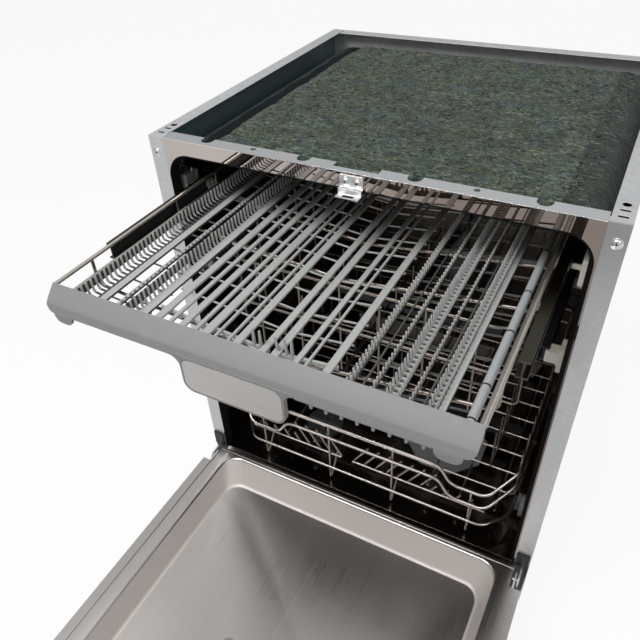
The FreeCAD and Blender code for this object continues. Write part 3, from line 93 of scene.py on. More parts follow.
# shader maths: one wrapped socket, so that plain expressions add the nodes
class Wire:
    def __init__(self, tree, socket):
        self.tree = tree
        self.socket = socket

    def maths(self, operation, first, second):
        step = self.tree.nodes.new("ShaderNodeMath")
        step.operation = operation
        for value, socket in zip((first, second), step.inputs):
            plug(self.tree, value, socket)
        return Wire(self.tree, step.outputs[0])

    def __add__(self, other):
        return self.maths("ADD", self, other)

    def __radd__(self, other):
        return self.maths("ADD", other, self)

    def __sub__(self, other):
        return self.maths("SUBTRACT", self, other)

    def __rsub__(self, other):
        return self.maths("SUBTRACT", other, self)

    def __mul__(self, other):
        return self.maths("MULTIPLY", self, other)

    def __rmul__(self, other):
        return self.maths("MULTIPLY", other, self)

    def __gt__(self, other):
        return self.maths("GREATER_THAN", self, other)

    def __lt__(self, other):
        return self.maths("LESS_THAN", self, other)

    def __abs__(self):
        return self.maths("ABSOLUTE", self, 0.0)


socketNames = {"metal": "Metallic", "specular": "Specular IOR Level", "coat": "Coat Weight",
               "clear": "Transmission Weight", "sheen": "Sheen Weight"}


class Finish:
    def __init__(self, name):
        self.material = bpy.data.materials.new(name)
        self.material.use_nodes = True
        self.tree = self.material.node_tree
        self.shader = self.tree.nodes["Principled BSDF"]
        self.place = self.node("TexCoord", {}, {}, "Object")

    # any node: its type, its settings, then the values or links of its sockets
    def node(self, kind, settings, sockets, output=0):
        step = self.tree.nodes.new("ShaderNode" + kind)
        for key, value in settings.items():
            if key == "stops":
                ramp = step.color_ramp.elements
                while len(ramp) < len(value):
                    ramp.new(0.5)
                for stop, (position, colour) in zip(ramp, value):
                    stop.position = position
                    stop.color = (*colour, 1)
            else:
                setattr(step, key, value)
        for key, value in sockets.items():
            plug(self.tree, value, step.inputs[key])
        return Wire(self.tree, step.outputs[output])

    def axis(self, name):
        return self.node("SeparateXYZ", {}, {"Vector": self.place}, name)

    def rising(self, value, low, high):
        return self.node("MapRange", {}, {"Value": value, "From Min": low, "From Max": high})

    def stretched(self, scale, turn=(0, 0, 0)):
        return self.node("Mapping", {}, {"Vector": self.place, "Scale": scale, "Rotation": turn})

    def cloud(self, scale, detail=3.0, rough=0.55, vector=None):
        sockets = {"Vector": vector or self.place, "Scale": scale, "Detail": detail, "Roughness": rough}
        return self.node("TexNoise", {}, sockets)

    def cells(self, scale, output="Distance"):
        return self.node("TexVoronoi", {"feature": "F1"}, {"Vector": self.place, "Scale": scale}, output)

    def blendColour(self, share, first, second, way="MIX"):
        sockets = {0: share, 6: first, 7: second}
        for key in (6, 7):
            if not isinstance(sockets[key], Wire):
                sockets[key] = (*sockets[key], 1)
        return self.node("Mix", {"data_type": "RGBA", "blend_type": way}, sockets, 2)

    # one colour, between a dark and a pale shade of itself
    def tinted(self, share, colour, dark, pale):
        return self.blendColour(share, shade(colour, dark), shade(colour, pale))

    # colour and roughness, a bump as height, strength and distance, and what else the surface has
    def done(self, base, rough, bump=None, **others):
        sockets = {"Base Color": base, "Roughness": rough}
        sockets.update((socketNames[key], value) for key, value in others.items())
        if bump:
            sockets["Normal"] = self.node("Bump", {}, dict(zip(("Height", "Strength", "Distance"), bump)))
        for key, value in sockets.items():
            plug(self.tree, value, self.shader.inputs[key])
        return self.material


def shade(colour, factor):
    return tuple(min(1.0, channel * factor) for channel in colour)


# steel drawn in one direction: fine streaks and soft smears
def drawnSteel(finish, colour, rough, along, streak=0.10, smear=0.12):
    fine = finish.cloud(1.0, 2.0, 0.6, finish.stretched(along))
    broad = finish.cloud(6.0, 3.0)
    base = finish.tinted(fine * 0.7 + broad * 0.3, colour, 0.82, 1.12)
    return base, rough + (fine - 0.5) * streak + (broad - 0.5) * smear, (fine, 0.05, 0.0004)


def brushedSteel(name, colour, *grain):
    finish = Finish(name)
    base, rough, bump = drawnSteel(finish, colour, *grain)
    base = finish.blendColour(finish.cloud(38.0, 4.0, 0.65) * 0.16, base, shade(colour, 0.6))
    return finish.done(base, rough, bump, metal=1.0)


# mirror-like sheet with faint pull marks and finger smears, a painted reflection that turns it darker and browner to
# the right, satin on its ledge
def polishedSteel(name, colour, rough, ledge, paintedReflection):
    finish = Finish(name)
    pull = finish.cloud(1.0, 2.0, 0.5, finish.stretched((3, 3, 420)))
    smear = finish.cloud(14.0, 4.0, 0.6)
    onLedge = finish.axis("Z") > ledge["height"]
    base = finish.tinted(smear, colour, 0.9, 1.06)
    # painted reflection: the colour darkens to brown from left to right across the frame
    base = finish.blendColour(finish.rising(finish.axis("X"), paintedReflection["from"], paintedReflection["to"]), base, paintedReflection["colour"])
    base = finish.blendColour(onLedge, base, ledge["colour"])
    rough = rough + pull * 0.012 + smear * 0.02 + onLedge * ledge["rough"]
    return finish.done(base, rough, (finish.cloud(9.0, 2.0), 0.02, 0.004), metal=1.0)


# door liner: brushed floor, satin walls that are also painted paler as painted light
def linerSteel(name, colour, rough, wall):
    finish = Finish(name)
    base, rough, bump = drawnSteel(finish, colour, rough, drawnDeep)
    height = finish.axis("Z")
    onWall = (height > wall["low"]) * (height < wall["high"])
    # painted light: the walls' colour is paler than the floor's steel
    base = finish.blendColour(onWall, base, wall["colour"])
    return finish.done(base, rough + onWall * wall["rough"], bump, metal=1 - onWall * wall["satin"])


# zinc spangle on the cabinet's sheet, with the upper end of the right post in shade
def spangledZinc(name, colour, rough, post):
    finish = Finish(name)
    drift = finish.cloud(7.0, 3.0)
    tone = finish.node("SeparateColor", {}, {"Color": finish.cells(170.0, "Color")})
    base = finish.tinted(tone * 0.35 + drift * 0.65, colour, 0.86, 1.1)
    onPost = (finish.axis("X") > post["x"]) * (finish.axis("Y") < post["y"])
    dimmed = finish.rising(finish.axis("Z"), post["low"], post["high"]) * onPost * post["share"]
    base = finish.blendColour(dimmed, base, shade(colour, post["dark"]))
    rough = rough + (tone - 0.5) * 0.07 + (drift - 0.5) * 0.12
    return finish.done(base, rough, (finish.cloud(320.0, 3.0), 0.04, 0.0003), metal=0.55)


# moulded plastic: fine spark texture, slow drift in tone and scuffed patches
def mouldedPlastic(name, colour, rough, grain=1500.0, depth=0.12, scuff=0.06, coat=0.0, clear=0.0):
    finish = Finish(name)
    spark = finish.cloud(grain, 2.0, 0.5)
    worn = finish.cloud(45.0, 5.0, 0.7)
    base = finish.tinted(finish.cloud(5.0, 3.0), colour, 0.94, 1.06)
    base = finish.blendColour((worn > 0.62) * scuff * 4, base, shade(colour, 1.25))
    rough = rough + (spark - 0.5) * 0.16 + (worn - 0.5) * scuff
    return finish.done(base, rough, (spark, depth, 0.0004), specular=0.4, coat=coat, clear=clear)


# comb moulding: painted highlight at the tips of its teeth, painted shade below the slats
def combMoulding(name, colour, rough, lit):
    finish = Finish(name)
    spark = finish.cloud(1300.0, 2.0, 0.5)
    height = finish.axis("Z") - abs(finish.axis("X")) * traySlope - trayZ * mm
    base = finish.tinted(finish.cloud(5.0, 3.0), colour, 0.94, 1.06)
    # painted highlight: paler towards the tips of the teeth
    base = finish.blendColour(finish.rising(height, *lit["tips"]), base, shade(colour, lit["pale"]))
    # painted shade: dark below the slats
    base = finish.blendColour(height < lit["below"], base, lit["dark"])
    return finish.done(base, rough + (spark - 0.5) * 0.16, (spark, 0.10, 0.0004), specular=0.4)


# recycled fibre felt: short matted fibres in patches of colour, with painted shade where the mat turns over the
# shoulder
def fibreFelt(name, look):
    finish = Finish(name)
    strands = [finish.cloud(1.0, 3.0, 0.7, finish.stretched(scale, (0, 0, turn))) * share
               for turn, scale, share in look["strands"]]
    mat = strands[0] + strands[1] + strands[2]
    grain = finish.cloud(210.0, 3.0, 0.75)
    clump = finish.cloud(34.0, 5.0, 0.65)
    depth = (mat * 0.5 + grain * 0.32 + clump * 0.18 - 0.5) * look["contrast"] + 0.5
    base = finish.node("ValToRGB", {"stops": look["tones"]}, {"Fac": depth})
    patch = finish.node("ValToRGB", {"stops": look["patches"]}, {"Fac": finish.cloud(27.0, 4.0, 0.7)})
    base = finish.blendColour(0.85, base, patch, "MULTIPLY")
    # painted shade: near-black where the mat turns down over the shoulder
    turned = (finish.axis("X") + clump * 0.016) > look["turnX"]
    base = finish.blendColour(turned * 0.66, base, look["turned"])
    return finish.done(base, 0.96, (mat + grain * 0.8, 0.9, 0.004), specular=0.08, sheen=0.15)


# one loose fibre's colour, uneven along its length
def looseFibre(name, colour):
    finish = Finish(name)
    tone = finish.cloud(180.0, 2.0)
    return finish.done(finish.tinted(tone, colour, 0.55, 1.4), 0.8 + tone * 0.2, specular=0.1)


# tar mat over the tub, with a painted shadow in a wavy near-black band beside the felt's edge
def heavyMat(name, colour, edgeShadow):
    finish = Finish(name)
    skin = finish.cloud(240.0, 4.0, 0.6)
    ripple = finish.cloud(16.0, 2.0)
    across = finish.axis("X")
    # painted shadow: the felt's edge shades the tar in a wavy band
    inShadow = ((across + ripple * 0.024) > edgeShadow["left"]) * ((across + ripple * 0.02) < edgeShadow["right"])
    base = finish.tinted(finish.cloud(9.0, 3.0), colour, 0.8, 1.25)
    base = finish.blendColour(inShadow, base, edgeShadow["colour"])
    return finish.done(base, 0.6 + skin * 0.2 + inShadow * 0.1, (skin, 0.25, 0.001), specular=0.12)


def softRubber(name, colour):
    finish = Finish(name)
    skin = finish.cloud(700.0, 3.0)
    base = finish.tinted(finish.cloud(18.0, 4.0), colour, 0.8, 1.5)
    return finish.done(base, 0.62 + skin * 0.2, (skin, 0.15, 0.0005), specular=0.15)


def castIron(name, colour):
    finish = Finish(name)
    lumps = finish.cloud(60.0, 5.0, 0.7)
    base = finish.tinted(lumps, colour, 0.7, 1.4)
    return finish.done(base, 0.62 + lumps * 0.2, (finish.cells(420.0) + lumps, 0.5, 0.001), metal=0.6)


# pale strike and screws: plated, with a cloudy passivated film
def platedZinc(name, colour, rough):
    finish = Finish(name)
    film = finish.cloud(55.0, 4.0, 0.6)
    base = finish.tinted(film, colour, 0.85, 1.12)
    return finish.done(base, rough + film * 0.14, (finish.cloud(900.0, 2.0), 0.05, 0.0003), metal=0.85)


# scales of the drawn grain: along the depth, along the width, and even on wire
drawnDeep, drawnWide, evenGrain = (900, 3, 900), (6, 900, 900), (30, 30, 30)
frameLedge = {"height": 0.8142, "colour": (0.86, 0.88, 0.90), "rough": 0.18}
# painted reflection over X: the frame's face turns dark brown towards the right
framePaintedReflection = {"from": -0.16, "to": 0.12, "colour": (0.26, 0.215, 0.19)}
rightPost = {"x": 0.27, "y": 0.05, "low": 0.60, "high": 0.80, "share": 0.8, "dark": 0.42}
# the liner's walls: satin, and painted paler as painted light
linerWallPaintedLight = {"low": 0.1552, "high": 0.1962, "colour": (0.66, 0.61, 0.58), "satin": 0.65, "rough": 0.18}
# painted highlight at the teeth's tips and painted shade below the slats
combLight = {"tips": (0.002, 0.014), "pale": 1.3, "below": -0.0001, "dark": (0.075, 0.075, 0.070)}
# painted shadow of the felt's left edge on the tar mat
feltEdgeShadow = {"left": -0.232, "right": -0.15, "colour": (0.006, 0.007, 0.008)}
feltLook = {
    "strands": ((0.35, (80, 330, 200), 0.4), (1.25, (90, 300, 200), 0.32), (-0.75, (75, 360, 200), 0.28)),
    "contrast": 2.3, "turnX": 0.2345, "turned": (0.006, 0.009, 0.007),
    "tones": [(0.20, (0.004, 0.006, 0.005)), (0.42, (0.030, 0.038, 0.031)), (0.58, (0.098, 0.115, 0.098)),
              (0.80, (0.34, 0.37, 0.34))],
    "patches": [(0.34, (0.62, 0.86, 1.0)), (0.46, (0.72, 0.92, 0.78)), (0.54, (0.86, 0.96, 0.72)),
                (0.66, (1.0, 0.92, 0.60))],
}
finishes = {
    "tub_steel": brushedSteel("tubSteel", (0.60, 0.575, 0.55), 0.30, drawnDeep),
    "frame_steel": polishedSteel("frameSteel", (0.60, 0.54, 0.51), 0.0, frameLedge, framePaintedReflection),
    "galvanised": spangledZinc("cabinetZinc", (0.66, 0.67, 0.68), 0.42, rightPost),
    "coated_steel": mouldedPlastic("coatedDoorSheet", (0.45, 0.46, 0.47), 0.45, 700.0, 0.08),
    "basket_steel": brushedSteel("basketWire", (0.58, 0.53, 0.49), 0.28, evenGrain, 0.03, 0.05),
    "grey_plastic": mouldedPlastic("greyMoulding", (0.255, 0.257, 0.256), 0.46),
    "light_plastic": mouldedPlastic("paleMoulding", (0.62, 0.60, 0.52), 0.40),
    "black_plastic": mouldedPlastic("blackMoulding", (0.014, 0.014, 0.015), 0.42),
    "panel_plastic": mouldedPlastic("panelMoulding", (0.022, 0.022, 0.025), 0.22, 900.0, 0.04, 0.04, 0.4),
    "key_plastic": mouldedPlastic("keyMoulding", (0.50, 0.50, 0.50), 0.32, 1200.0, 0.06),
    "seal_rubber": softRubber("sealRubber", (0.0022, 0.0022, 0.0022)),
    "bitumen": heavyMat("heavyMat", (0.024, 0.036, 0.036), feltEdgeShadow),
    "felt": fibreFelt("fibreFelt", feltLook),
    "plate_metal": brushedSteel("badgePlate", (0.57, 0.55, 0.535), 0.34, drawnWide, 0.08, 0.05),
    "iron": castIron("castIron", (0.09, 0.085, 0.08)),
    "zinc": platedZinc("platedZinc", (0.80, 0.80, 0.80), 0.26),
}
doorSteel = linerSteel("doorSteel", (0.50, 0.475, 0.455), 0.30, linerWallPaintedLight)
# the tub's inner steel, far darker than tub_steel: painted shade inside the tub
tubInsideShaded = brushedSteel("tubInsideShaded", (0.17, 0.150, 0.135), 0.20, drawnDeep, 0.06, 0.06)
trayWire = brushedSteel("trayWire", (0.66, 0.62, 0.56), 0.38, evenGrain, 0.03, 0.05)
# darker copy of the tray wire: painted shade for wires under the inserts and under the tray
shadedWire = brushedSteel("shadedWire", (0.25, 0.22, 0.19), 0.36, evenGrain, 0.03, 0.05)
railSteel = brushedSteel("railSteel", (0.075, 0.070, 0.056), 0.26, drawnDeep, 0.06, 0.06)
armPlastic = mouldedPlastic("armMoulding", (0.040, 0.041, 0.043), 0.40)
# dark teal finish for the side panels' inward faces
innerWallTeal = mouldedPlastic("innerWallTeal", (0.085, 0.125, 0.135), 0.36, 300.0, 0.10)
combPlastic = mouldedPlastic("combMoulding", (0.41, 0.42, 0.41), 0.44, 1300.0, 0.10)
combShaded = combMoulding("combShaded", (0.44, 0.45, 0.44), 0.44, combLight)
# near-black strips behind the left comb's teeth: painted shade
backShadePlastic = mouldedPlastic("combBack", (0.055, 0.055, 0.052), 0.55)
clearPlastic = mouldedPlastic("clearRoller", (0.78, 0.76, 0.72), 0.12, 900.0, 0.04, 0.03, 0.6, 0.8)
tubePlastic = mouldedPlastic("tubeMoulding", (0.40, 0.42, 0.43), 0.40, 1400.0, 0.08)
# near-black plastic for the tube's clips, and as painted shade in the screws' cross recesses
darkRecess = mouldedPlastic("darkRecess", (0.02, 0.02, 0.02), 0.6)
for node, piece in frame["nodes"].items():
    piece.data.materials.clear()
    piece.data.materials.append(finishes[slotOf[node]])
print("finishes made:", len(bpy.data.materials))


def newPiece(name, data, body, slot, material=None):
    piece = bpy.data.objects.new(name, data)
    scene.collection.objects.link(piece)
    if not data.materials:
        data.materials.append(material or finishes[slot])
    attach(piece, body)
    return piece


def meshFrom(name, shape, smooth=True):
    data = bpy.data.meshes.new(name)
    for face in shape.faces:
        face.smooth = smooth
    shape.to_mesh(data)
    shape.free()
    return data


def meshPiece(name, shape, body, slot, material=None, smooth=True):
    return newPiece(name, meshFrom(name, shape, smooth), body, slot, material)


edgeAngle = 38.0  # degrees, folds above this are edges
turnedAngle = 40.0  # the same for turned pieces
rimAngle = 60.0  # and for the ends of drums
flatAngle = 0.6  # degrees, folds below this are flat
weld = 0.01  # mm, vertices nearer than this are one


def sharpen(shape, angle=edgeAngle):
    for edge in shape.edges:
        if edge.is_manifold:
            edge.smooth = edge.calc_face_angle(0) < math.radians(angle)


def flatten(shape):
    bmesh.ops.dissolve_limit(shape, angle_limit=math.radians(flatAngle), verts=shape.verts, edges=shape.edges)


def mergedCopy(node):
    shape = bmesh.new()
    shape.from_mesh(frame["nodes"][node].data)
    bmesh.ops.remove_doubles(shape, verts=shape.verts, dist=weld * mm)
    return shape


def roundEdges(shape, edges, radius, segments=2, clamp=False):
    bmesh.ops.bevel(shape, geom=edges, offset=radius * mm, offset_type="OFFSET", segments=segments, profile=0.5,
                    affect="EDGES", clamp_overlap=clamp, material=-1)


def addEdges(piece, width):
    edges = piece.modifiers.new("edges", "BEVEL")
    edges.width = width * mm
    edges.segments = 2
    edges.limit_method = "ANGLE"
    edges.angle_limit = math.radians(edgeAngle)
    edges.harden_normals = True


# pieces whose shape is right in the frame get worked edges: merged, edges eased and shaded smooth
easedEdges = {
    "tub_shell": 0.3, "tub_back": 0.3, "tub_floor": 0.3, "front_frame": 0.35, "left_side_panel": 0.35,
    "right_side_panel": 0.35, "rear_panel": 0.3, "bitumen_sheet": 0.6, "door_strike": 0.4,
    "base_tray": 1.0, "levelling_feet": 1.0, "counterweight": 4.0, "sump": 1.0, "salt_cap": 2.0,
    "circulation_pump": 2.0, "drain_pump": 2.0, "softener": 4.0, "inlet_valve": 1.0, "drain_outlet": 1.0,
    "mains_gland": 1.0, "lower_arm_post": 1.0, "feed_duct": 3.0, "hinge_brackets": 0.5, "hinge_covers": 1.0,
    "door_outer_panel": 0.35, "control_panel": 0.8, "dispenser_body": 1.0, "hinge_arms": 0.5,
    "dispenser_lid": 1.2, "rinse_cap": 1.2, "door_latch": 0.6, "power_button": 1.2, "program_button": 1.2,
    "start_button": 1.2, "badge_plate": 0.3, "tray_rails": 0.5, "upper_rails": 0.5, "rail_brackets": 2.5,
    "upper_spray_arm": 2.5, "lower_spray_arm": 2.5, "ceiling_spray_arm": 2.5,
    "upper_basket_fittings": 1.2, "tub_filter": 0.6,
}
ownFinish = {
    "tub_shell": tubInsideShaded, "tub_back": tubInsideShaded, "tub_floor": tubInsideShaded, "tray_rails": railSteel,
    "upper_spray_arm": armPlastic, "lower_spray_arm": armPlastic, "ceiling_spray_arm": armPlastic,
    "salt_cap": armPlastic, "upper_basket_fittings": armPlastic,
}
railChannel = {"x": 0.2432, "low": 0.7295, "high": 0.7475}
panelInside = {"x": 0.2985, "facing": 0.9}


def easedCopy(node, width):
    shape = mergedCopy(node)
    flatten(shape)
    sharpen(shape)
    piece = meshPiece(node + ".eased", shape, bodyOf[node], slotOf[node], ownFinish.get(node))
    addEdges(piece, width)
    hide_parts(node)
    return piece


# second finish on some faces of an eased piece
def paintFaces(piece, material, chosen):
    piece.data.materials.append(material)
    for face in piece.data.polygons:
        if chosen(face):
            face.material_index = 1


def inChannel(face):
    return abs(face.center.x) < railChannel["x"] and railChannel["low"] < face.center.z < railChannel["high"]


# inward faces of the side panels, which get the dark teal finish
def facingInwards(face):
    inwards = -math.copysign(1, face.center.x) * face.normal.x
    return inwards > panelInside["facing"] and abs(face.center.x) < panelInside["x"]


eased = {node: easedCopy(node, width) for node, width in easedEdges.items()}
paintFaces(eased["tray_rails"], finishes["black_plastic"], inChannel)
paintFaces(eased["rail_brackets"], clearPlastic, lambda face: face.center.x < 0)
for node in ("left_side_panel", "right_side_panel"):
    paintFaces(eased[node], innerWallTeal, facingInwards)
print("eased copies:", len(eased))

# tray's front bar: its long crease is rounded broadly
barEdges = {"crease": (-267.0, 742.0), "reach": 1.3, "snap": 0.02, "radius": 12.0, "segments": 7, "smallEdge": 0.9}


def frontBar(size):
    shape = mergedCopy("tray_front_bar")
    flatten(shape)
    crease = at(0, *size["crease"])

    def near(vert, reach):
        return math.hypot(vert.co.y - crease.y, vert.co.z - crease.z) < reach * mm

    onCrease = [vert for vert in shape.verts if near(vert, size["reach"])]
    for vert in onCrease:
        vert.co.y, vert.co.z = crease.y, crease.z
    bmesh.ops.remove_doubles(shape, verts=onCrease, dist=size["snap"] * mm)
    flatten(shape)
    folds = [edge for edge in shape.edges if all(near(vert, size["snap"]) for vert in edge.verts)]
    roundEdges(shape, folds, size["radius"], size["segments"])
    sharpen(shape)
    piece = meshPiece("frontBar", shape, "tray", "grey_plastic")
    addEdges(piece, size["smallEdge"])
    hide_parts("tray_front_bar")
    print("front bar rounded:", len(folds), "folds")


frontBar(barEdges)

# gasket: only a slim lip shows at the frame's edge, the full section lies behind it
gasketSize = {"half": 273.7, "top": 794.7, "radius": 34.7, "lip": 1.4, "width": 6.0, "lipY": -1.0, "edge": 0.5,
              "frontReach": 0.1}


def doorGasket(size):
    shape = mergedCopy("door_gasket")
    front = min(vert.co.y for vert in shape.verts) + size["frontReach"] * mm
    corner = Vector((size["half"] - size["radius"], 0, size["top"] - size["radius"])) * mm
    inner = (size["radius"] - size["width"] / 2) * mm
    for vert in shape.verts:
        if vert.co.y > front:
            continue
        vert.co.y = at(0, size["lipY"], 0).y
        out = Vector((max(0, abs(vert.co.x) - corner.x), 0, max(0, vert.co.z - corner.z)))
        if 0 < out.length < inner:
            push = out.normalized() * (size["width"] - size["lip"]) * mm
            vert.co += Vector((math.copysign(push.x, vert.co.x), 0, push.z))
    flatten(shape)
    sharpen(shape)
    piece = meshPiece("doorGasket", shape, "cabinet", "seal_rubber")
    addEdges(piece, size["edge"])
    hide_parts("door_gasket")


doorGasket(gasketSize)

# door liner: the recess gets a rolled rim and a rounded foot, each found by its height
linerEdges = {"rim": (197.5, 199.4, 2.6), "foot": (154.4, 156.2, 5.0), "half": 270.0, "steep": 0.8, "level": 0.9,
              "segments": 4}


def doorLiner(size):
    shape = mergedCopy("door_liner")
    flatten(shape)

    def meant(edge, low, high):
        ups = [face.normal.z for face in edge.link_faces]
        inBand = all(low * mm < vert.co.z < high * mm for vert in edge.verts)
        inRecess = all(abs(vert.co.x) < size["half"] * mm for vert in edge.verts)
        return inBand and inRecess and min(map(abs, ups)) < size["steep"] and max(ups) > size["level"]

    for low, high, radius in (size["rim"], size["foot"]):
        edges = [edge for edge in shape.edges if edge.is_manifold and meant(edge, low, high)]
        roundEdges(shape, edges, radius, size["segments"])
        print("door liner edges rounded:", len(edges))
    sharpen(shape)
    piece = meshPiece("doorLiner", shape, "door", "tub_steel", doorSteel)
    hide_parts("door_liner")


doorLiner(linerEdges)

bendShare = 0.45  # most of a straight run that a bend may take
roundHandle = 0.56  # handle length that makes a bend round


# round wire through points, with its corners bent on a radius
def addWire(curve, points, radius, bend):
    path = [at(*point) for point in points]
    spots = [(path[0], None)]
    for before, here, after in zip(path, path[1:], path[2:]):
        reach = min(bend * mm, (here - before).length * bendShare, (after - here).length * bendShare)
        spots.append((here + (before - here).normalized() * reach, here))
        spots.append((here + (after - here).normalized() * reach, here))
    spots.append((path[-1], None))
    spline = curve.splines.new("BEZIER")
    spline.bezier_points.add(len(spots) - 1)
    for index, (point, (spot, corner)) in enumerate(zip(spline.bezier_points, spots)):
        point.co = spot
        point.radius = radius
        point.handle_left_type = point.handle_right_type = "FREE"
        back = spots[index - 1][0] if index else spot
        ahead = spots[index + 1][0] if index + 1 < len(spots) else spot
        point.handle_left = spot + (back - spot) / 3
        point.handle_right = spot + (ahead - spot) / 3
        if corner is not None and index % 2:
            point.handle_right = spot + (corner - spot) * roundHandle
        elif corner is not None:
            point.handle_left = spot + (corner - spot) * roundHandle
    spline.resolution_u = 5 if len(path) > 2 else 1


def wireCurve(name):
    curve = bpy.data.curves.new(name, "CURVE")
    curve.dimensions = "3D"
    curve.bevel_depth = mm
    curve.bevel_resolution = 3
    curve.use_fill_caps = True
    return curve


def spread(first, last, count):
    return [first + (last - first) * index / (count - 1) for index in range(count)]


# cutlery tray's wire frame, with its cradles in shade under the inserts
trayWires = {
    "sideX": 234.5, "sideZ": 754.0, "sideRadius": 2.5, "sideBend": 14.0, "cradleRadius": 2.0, "cradleBend": 9.0,
    "front": -251.5, "back": 195.0, "cradles": (-196.05, -41.0, 46.07, 156.79), "cradleTop": 753.0, "drop": 10.3,
    "lowX": 230.0, "lowZ": 736.0,
}


def trayFrame(size):
    curve = wireCurve("trayFrameWires")
    curve.materials.append(trayWire)
    curve.materials.append(shadedWire)
    side, top, front, back, z = (size[key] for key in ("sideX", "cradleTop", "front", "back", "sideZ"))
    low = trayZ - size["drop"]
    sideLow = low + side * traySlope
    for y in size["cradles"]:
        points = [(-side, y, top), (-side, y, sideLow), (0, y, low), (side, y, sideLow), (side, y, top)]
        addWire(curve, points, size["cradleRadius"], size["cradleBend"])
        curve.splines[-1].material_index = 1
    loop = [(-side, front, z), (-side, back, z), (side, back, z), (side, front, z)]
    addWire(curve, loop, size["sideRadius"], size["sideBend"])
    for x in (-size["lowX"], size["lowX"]):
        addWire(curve, [(x, front, size["lowZ"]), (x, back, size["lowZ"])], size["sideRadius"], 1)
    piece = newPiece("trayFrameWires", curve, "tray", "basket_steel")
    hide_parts("tray_frame")


trayFrame(trayWires)


# loop of a basket, with its front corners cut off
def ringLoop(half, cornerX, run, front, back, z):
    right = [(0, front, z), (cornerX, front, z), (half, front + run, z), (half, back, z)]
    return right + [(-x, y, height) for x, y, height in reversed(right)]


def crossWires(curve, size, start, stop):
    side = size["half"] - size["rim"] - size["thin"]
    for y in spread(start, stop, size["crossCount"]):
        points = [(-side, y, size["top"]), (-side, y, size["floor"]), (side, y, size["floor"]), (side, y, size["top"])]
        addWire(curve, points, size["thin"], size["crossBend"])


def tineRows(curve, size, start, stop):
    thin = size["thin"]
    rail = size["floor"] + 2 * thin
    for x in size["tineX"]:
        addWire(curve, [(x, start, rail), (x, stop, rail)], thin, 1)
        for y in spread(start, stop, size["tineCount"]):
            addWire(curve, [(x, y, rail), (x, y, rail + thin + size["tineHeight"])], thin, 1)


# lower basket: front rim dipped at both sides, comb wires behind it, V-shaped feet
lowerWires = {
    "half": 250.0, "front": 12.0, "back": 488.0, "top": 349.0, "second": 317.0, "combRail": 269.0, "floor": 241.0,
    "dip": 33.0, "dipInner": 137.0, "dipOuter": 157.0, "cornerX": 214.0, "cornerRun": 40.0, "rimBend": 12.0,
    "footZ": 206.0, "feet": (-190.0, -58.0, 58.0, 190.0), "footRun": 30.0, "footBend": 4.0,
    "crossCount": 10, "crossBend": 10.0, "longX": (-225.0, -165.0, -110.0, 110.0, 165.0, 225.0),
    "tineX": (-138.0, -20.0, 82.0, 195.0), "tineCount": 9, "tineHeight": 84.0,
    "combs": ((-37.5, -1, 8), (-15.0, 1, 11)), "combLean": 30.0, "rim": 2.4, "thin": 1.7,
}


def dippedRim(size, z):
    low = z - size["dip"]
    right = [
        (0, size["front"], z), (size["dipInner"], size["front"], z), (size["dipOuter"], size["front"], low),
        (size["cornerX"], size["front"], low), (size["half"], size["front"] + size["cornerRun"], z),
        (size["half"], size["back"], z),
    ]
    return right + [(-x, y, height) for x, y, height in reversed(right)]


def lowerBasket(size):
    curve = wireCurve("lowerBasketWires")
    rim, thin, run = size["rim"], size["thin"], size["cornerRun"]
    inset = rim + thin
    front, back, floor, top = size["front"], size["back"], size["floor"], size["top"]
    for z in (top, size["second"]):
        addWire(curve, dippedRim(size, z), rim, size["rimBend"])
    addWire(curve, ringLoop(size["half"], size["cornerX"], run, front, back, floor), rim, size["rimBend"])
    crossWires(curve, size, front + 2 * run, back - 2 * inset)
    under = floor - 2 * thin
    for x in size["longX"]:
        points = [(x, front + run, under), (x, back - inset, under), (x, back - inset, top)]
        addWire(curve, points, thin, size["crossBend"])
    inside = front + inset
    for x in size["feet"]:
        footTop = top - size["dip"] if abs(x) > size["dipInner"] else top
        points = [(x, inside, footTop), (x, inside, size["footZ"] + 2 * thin), (x, inside + 2 * thin, size["footZ"]),
                  (x, inside + size["footRun"], floor + thin)]
        addWire(curve, points, thin, size["footBend"])
    railY, railZ, second, lean = inside + 2 * thin, size["combRail"], size["second"], size["combLean"]
    for start, way, count in size["combs"]:
        far = size["cornerX"] * way
        addWire(curve, [(start, railY, railZ), (far, railY, railZ)], thin, 1)
        for x in spread(start, far - lean * way, count):
            tipZ = second - (size["dip"] if abs(x) + lean > size["dipInner"] else inset)
            share = (tipZ - railZ) / (second - railZ)
            tip = (x + lean * share * way, railY + 2 * thin, tipZ)
            addWire(curve, [(x, railY + 2 * thin, railZ - thin), tip], thin, 1)
    tineRows(curve, size, front + 3 * run, back - run)
    return newPiece("lowerBasketWires", curve, "lower_basket", "basket_steel")


lowerPiece = lowerBasket(lowerWires)

# upper basket
upperWires = {
    "half": 228.0, "front": 14.0, "back": 488.0, "top": 640.0, "middle": 565.0, "floor": 480.0, "chamfer": 34.0,
    "rimBend": 14.0, "crossCount": 8, "crossBend": 10.0, "longX": (-165.0, -95.0, -30.0, 30.0, 95.0, 165.0),
    "tineX": (-130.0, 0.0, 130.0), "tineCount": 6, "tineHeight": 62.0, "rim": 2.4, "thin": 1.7,
}


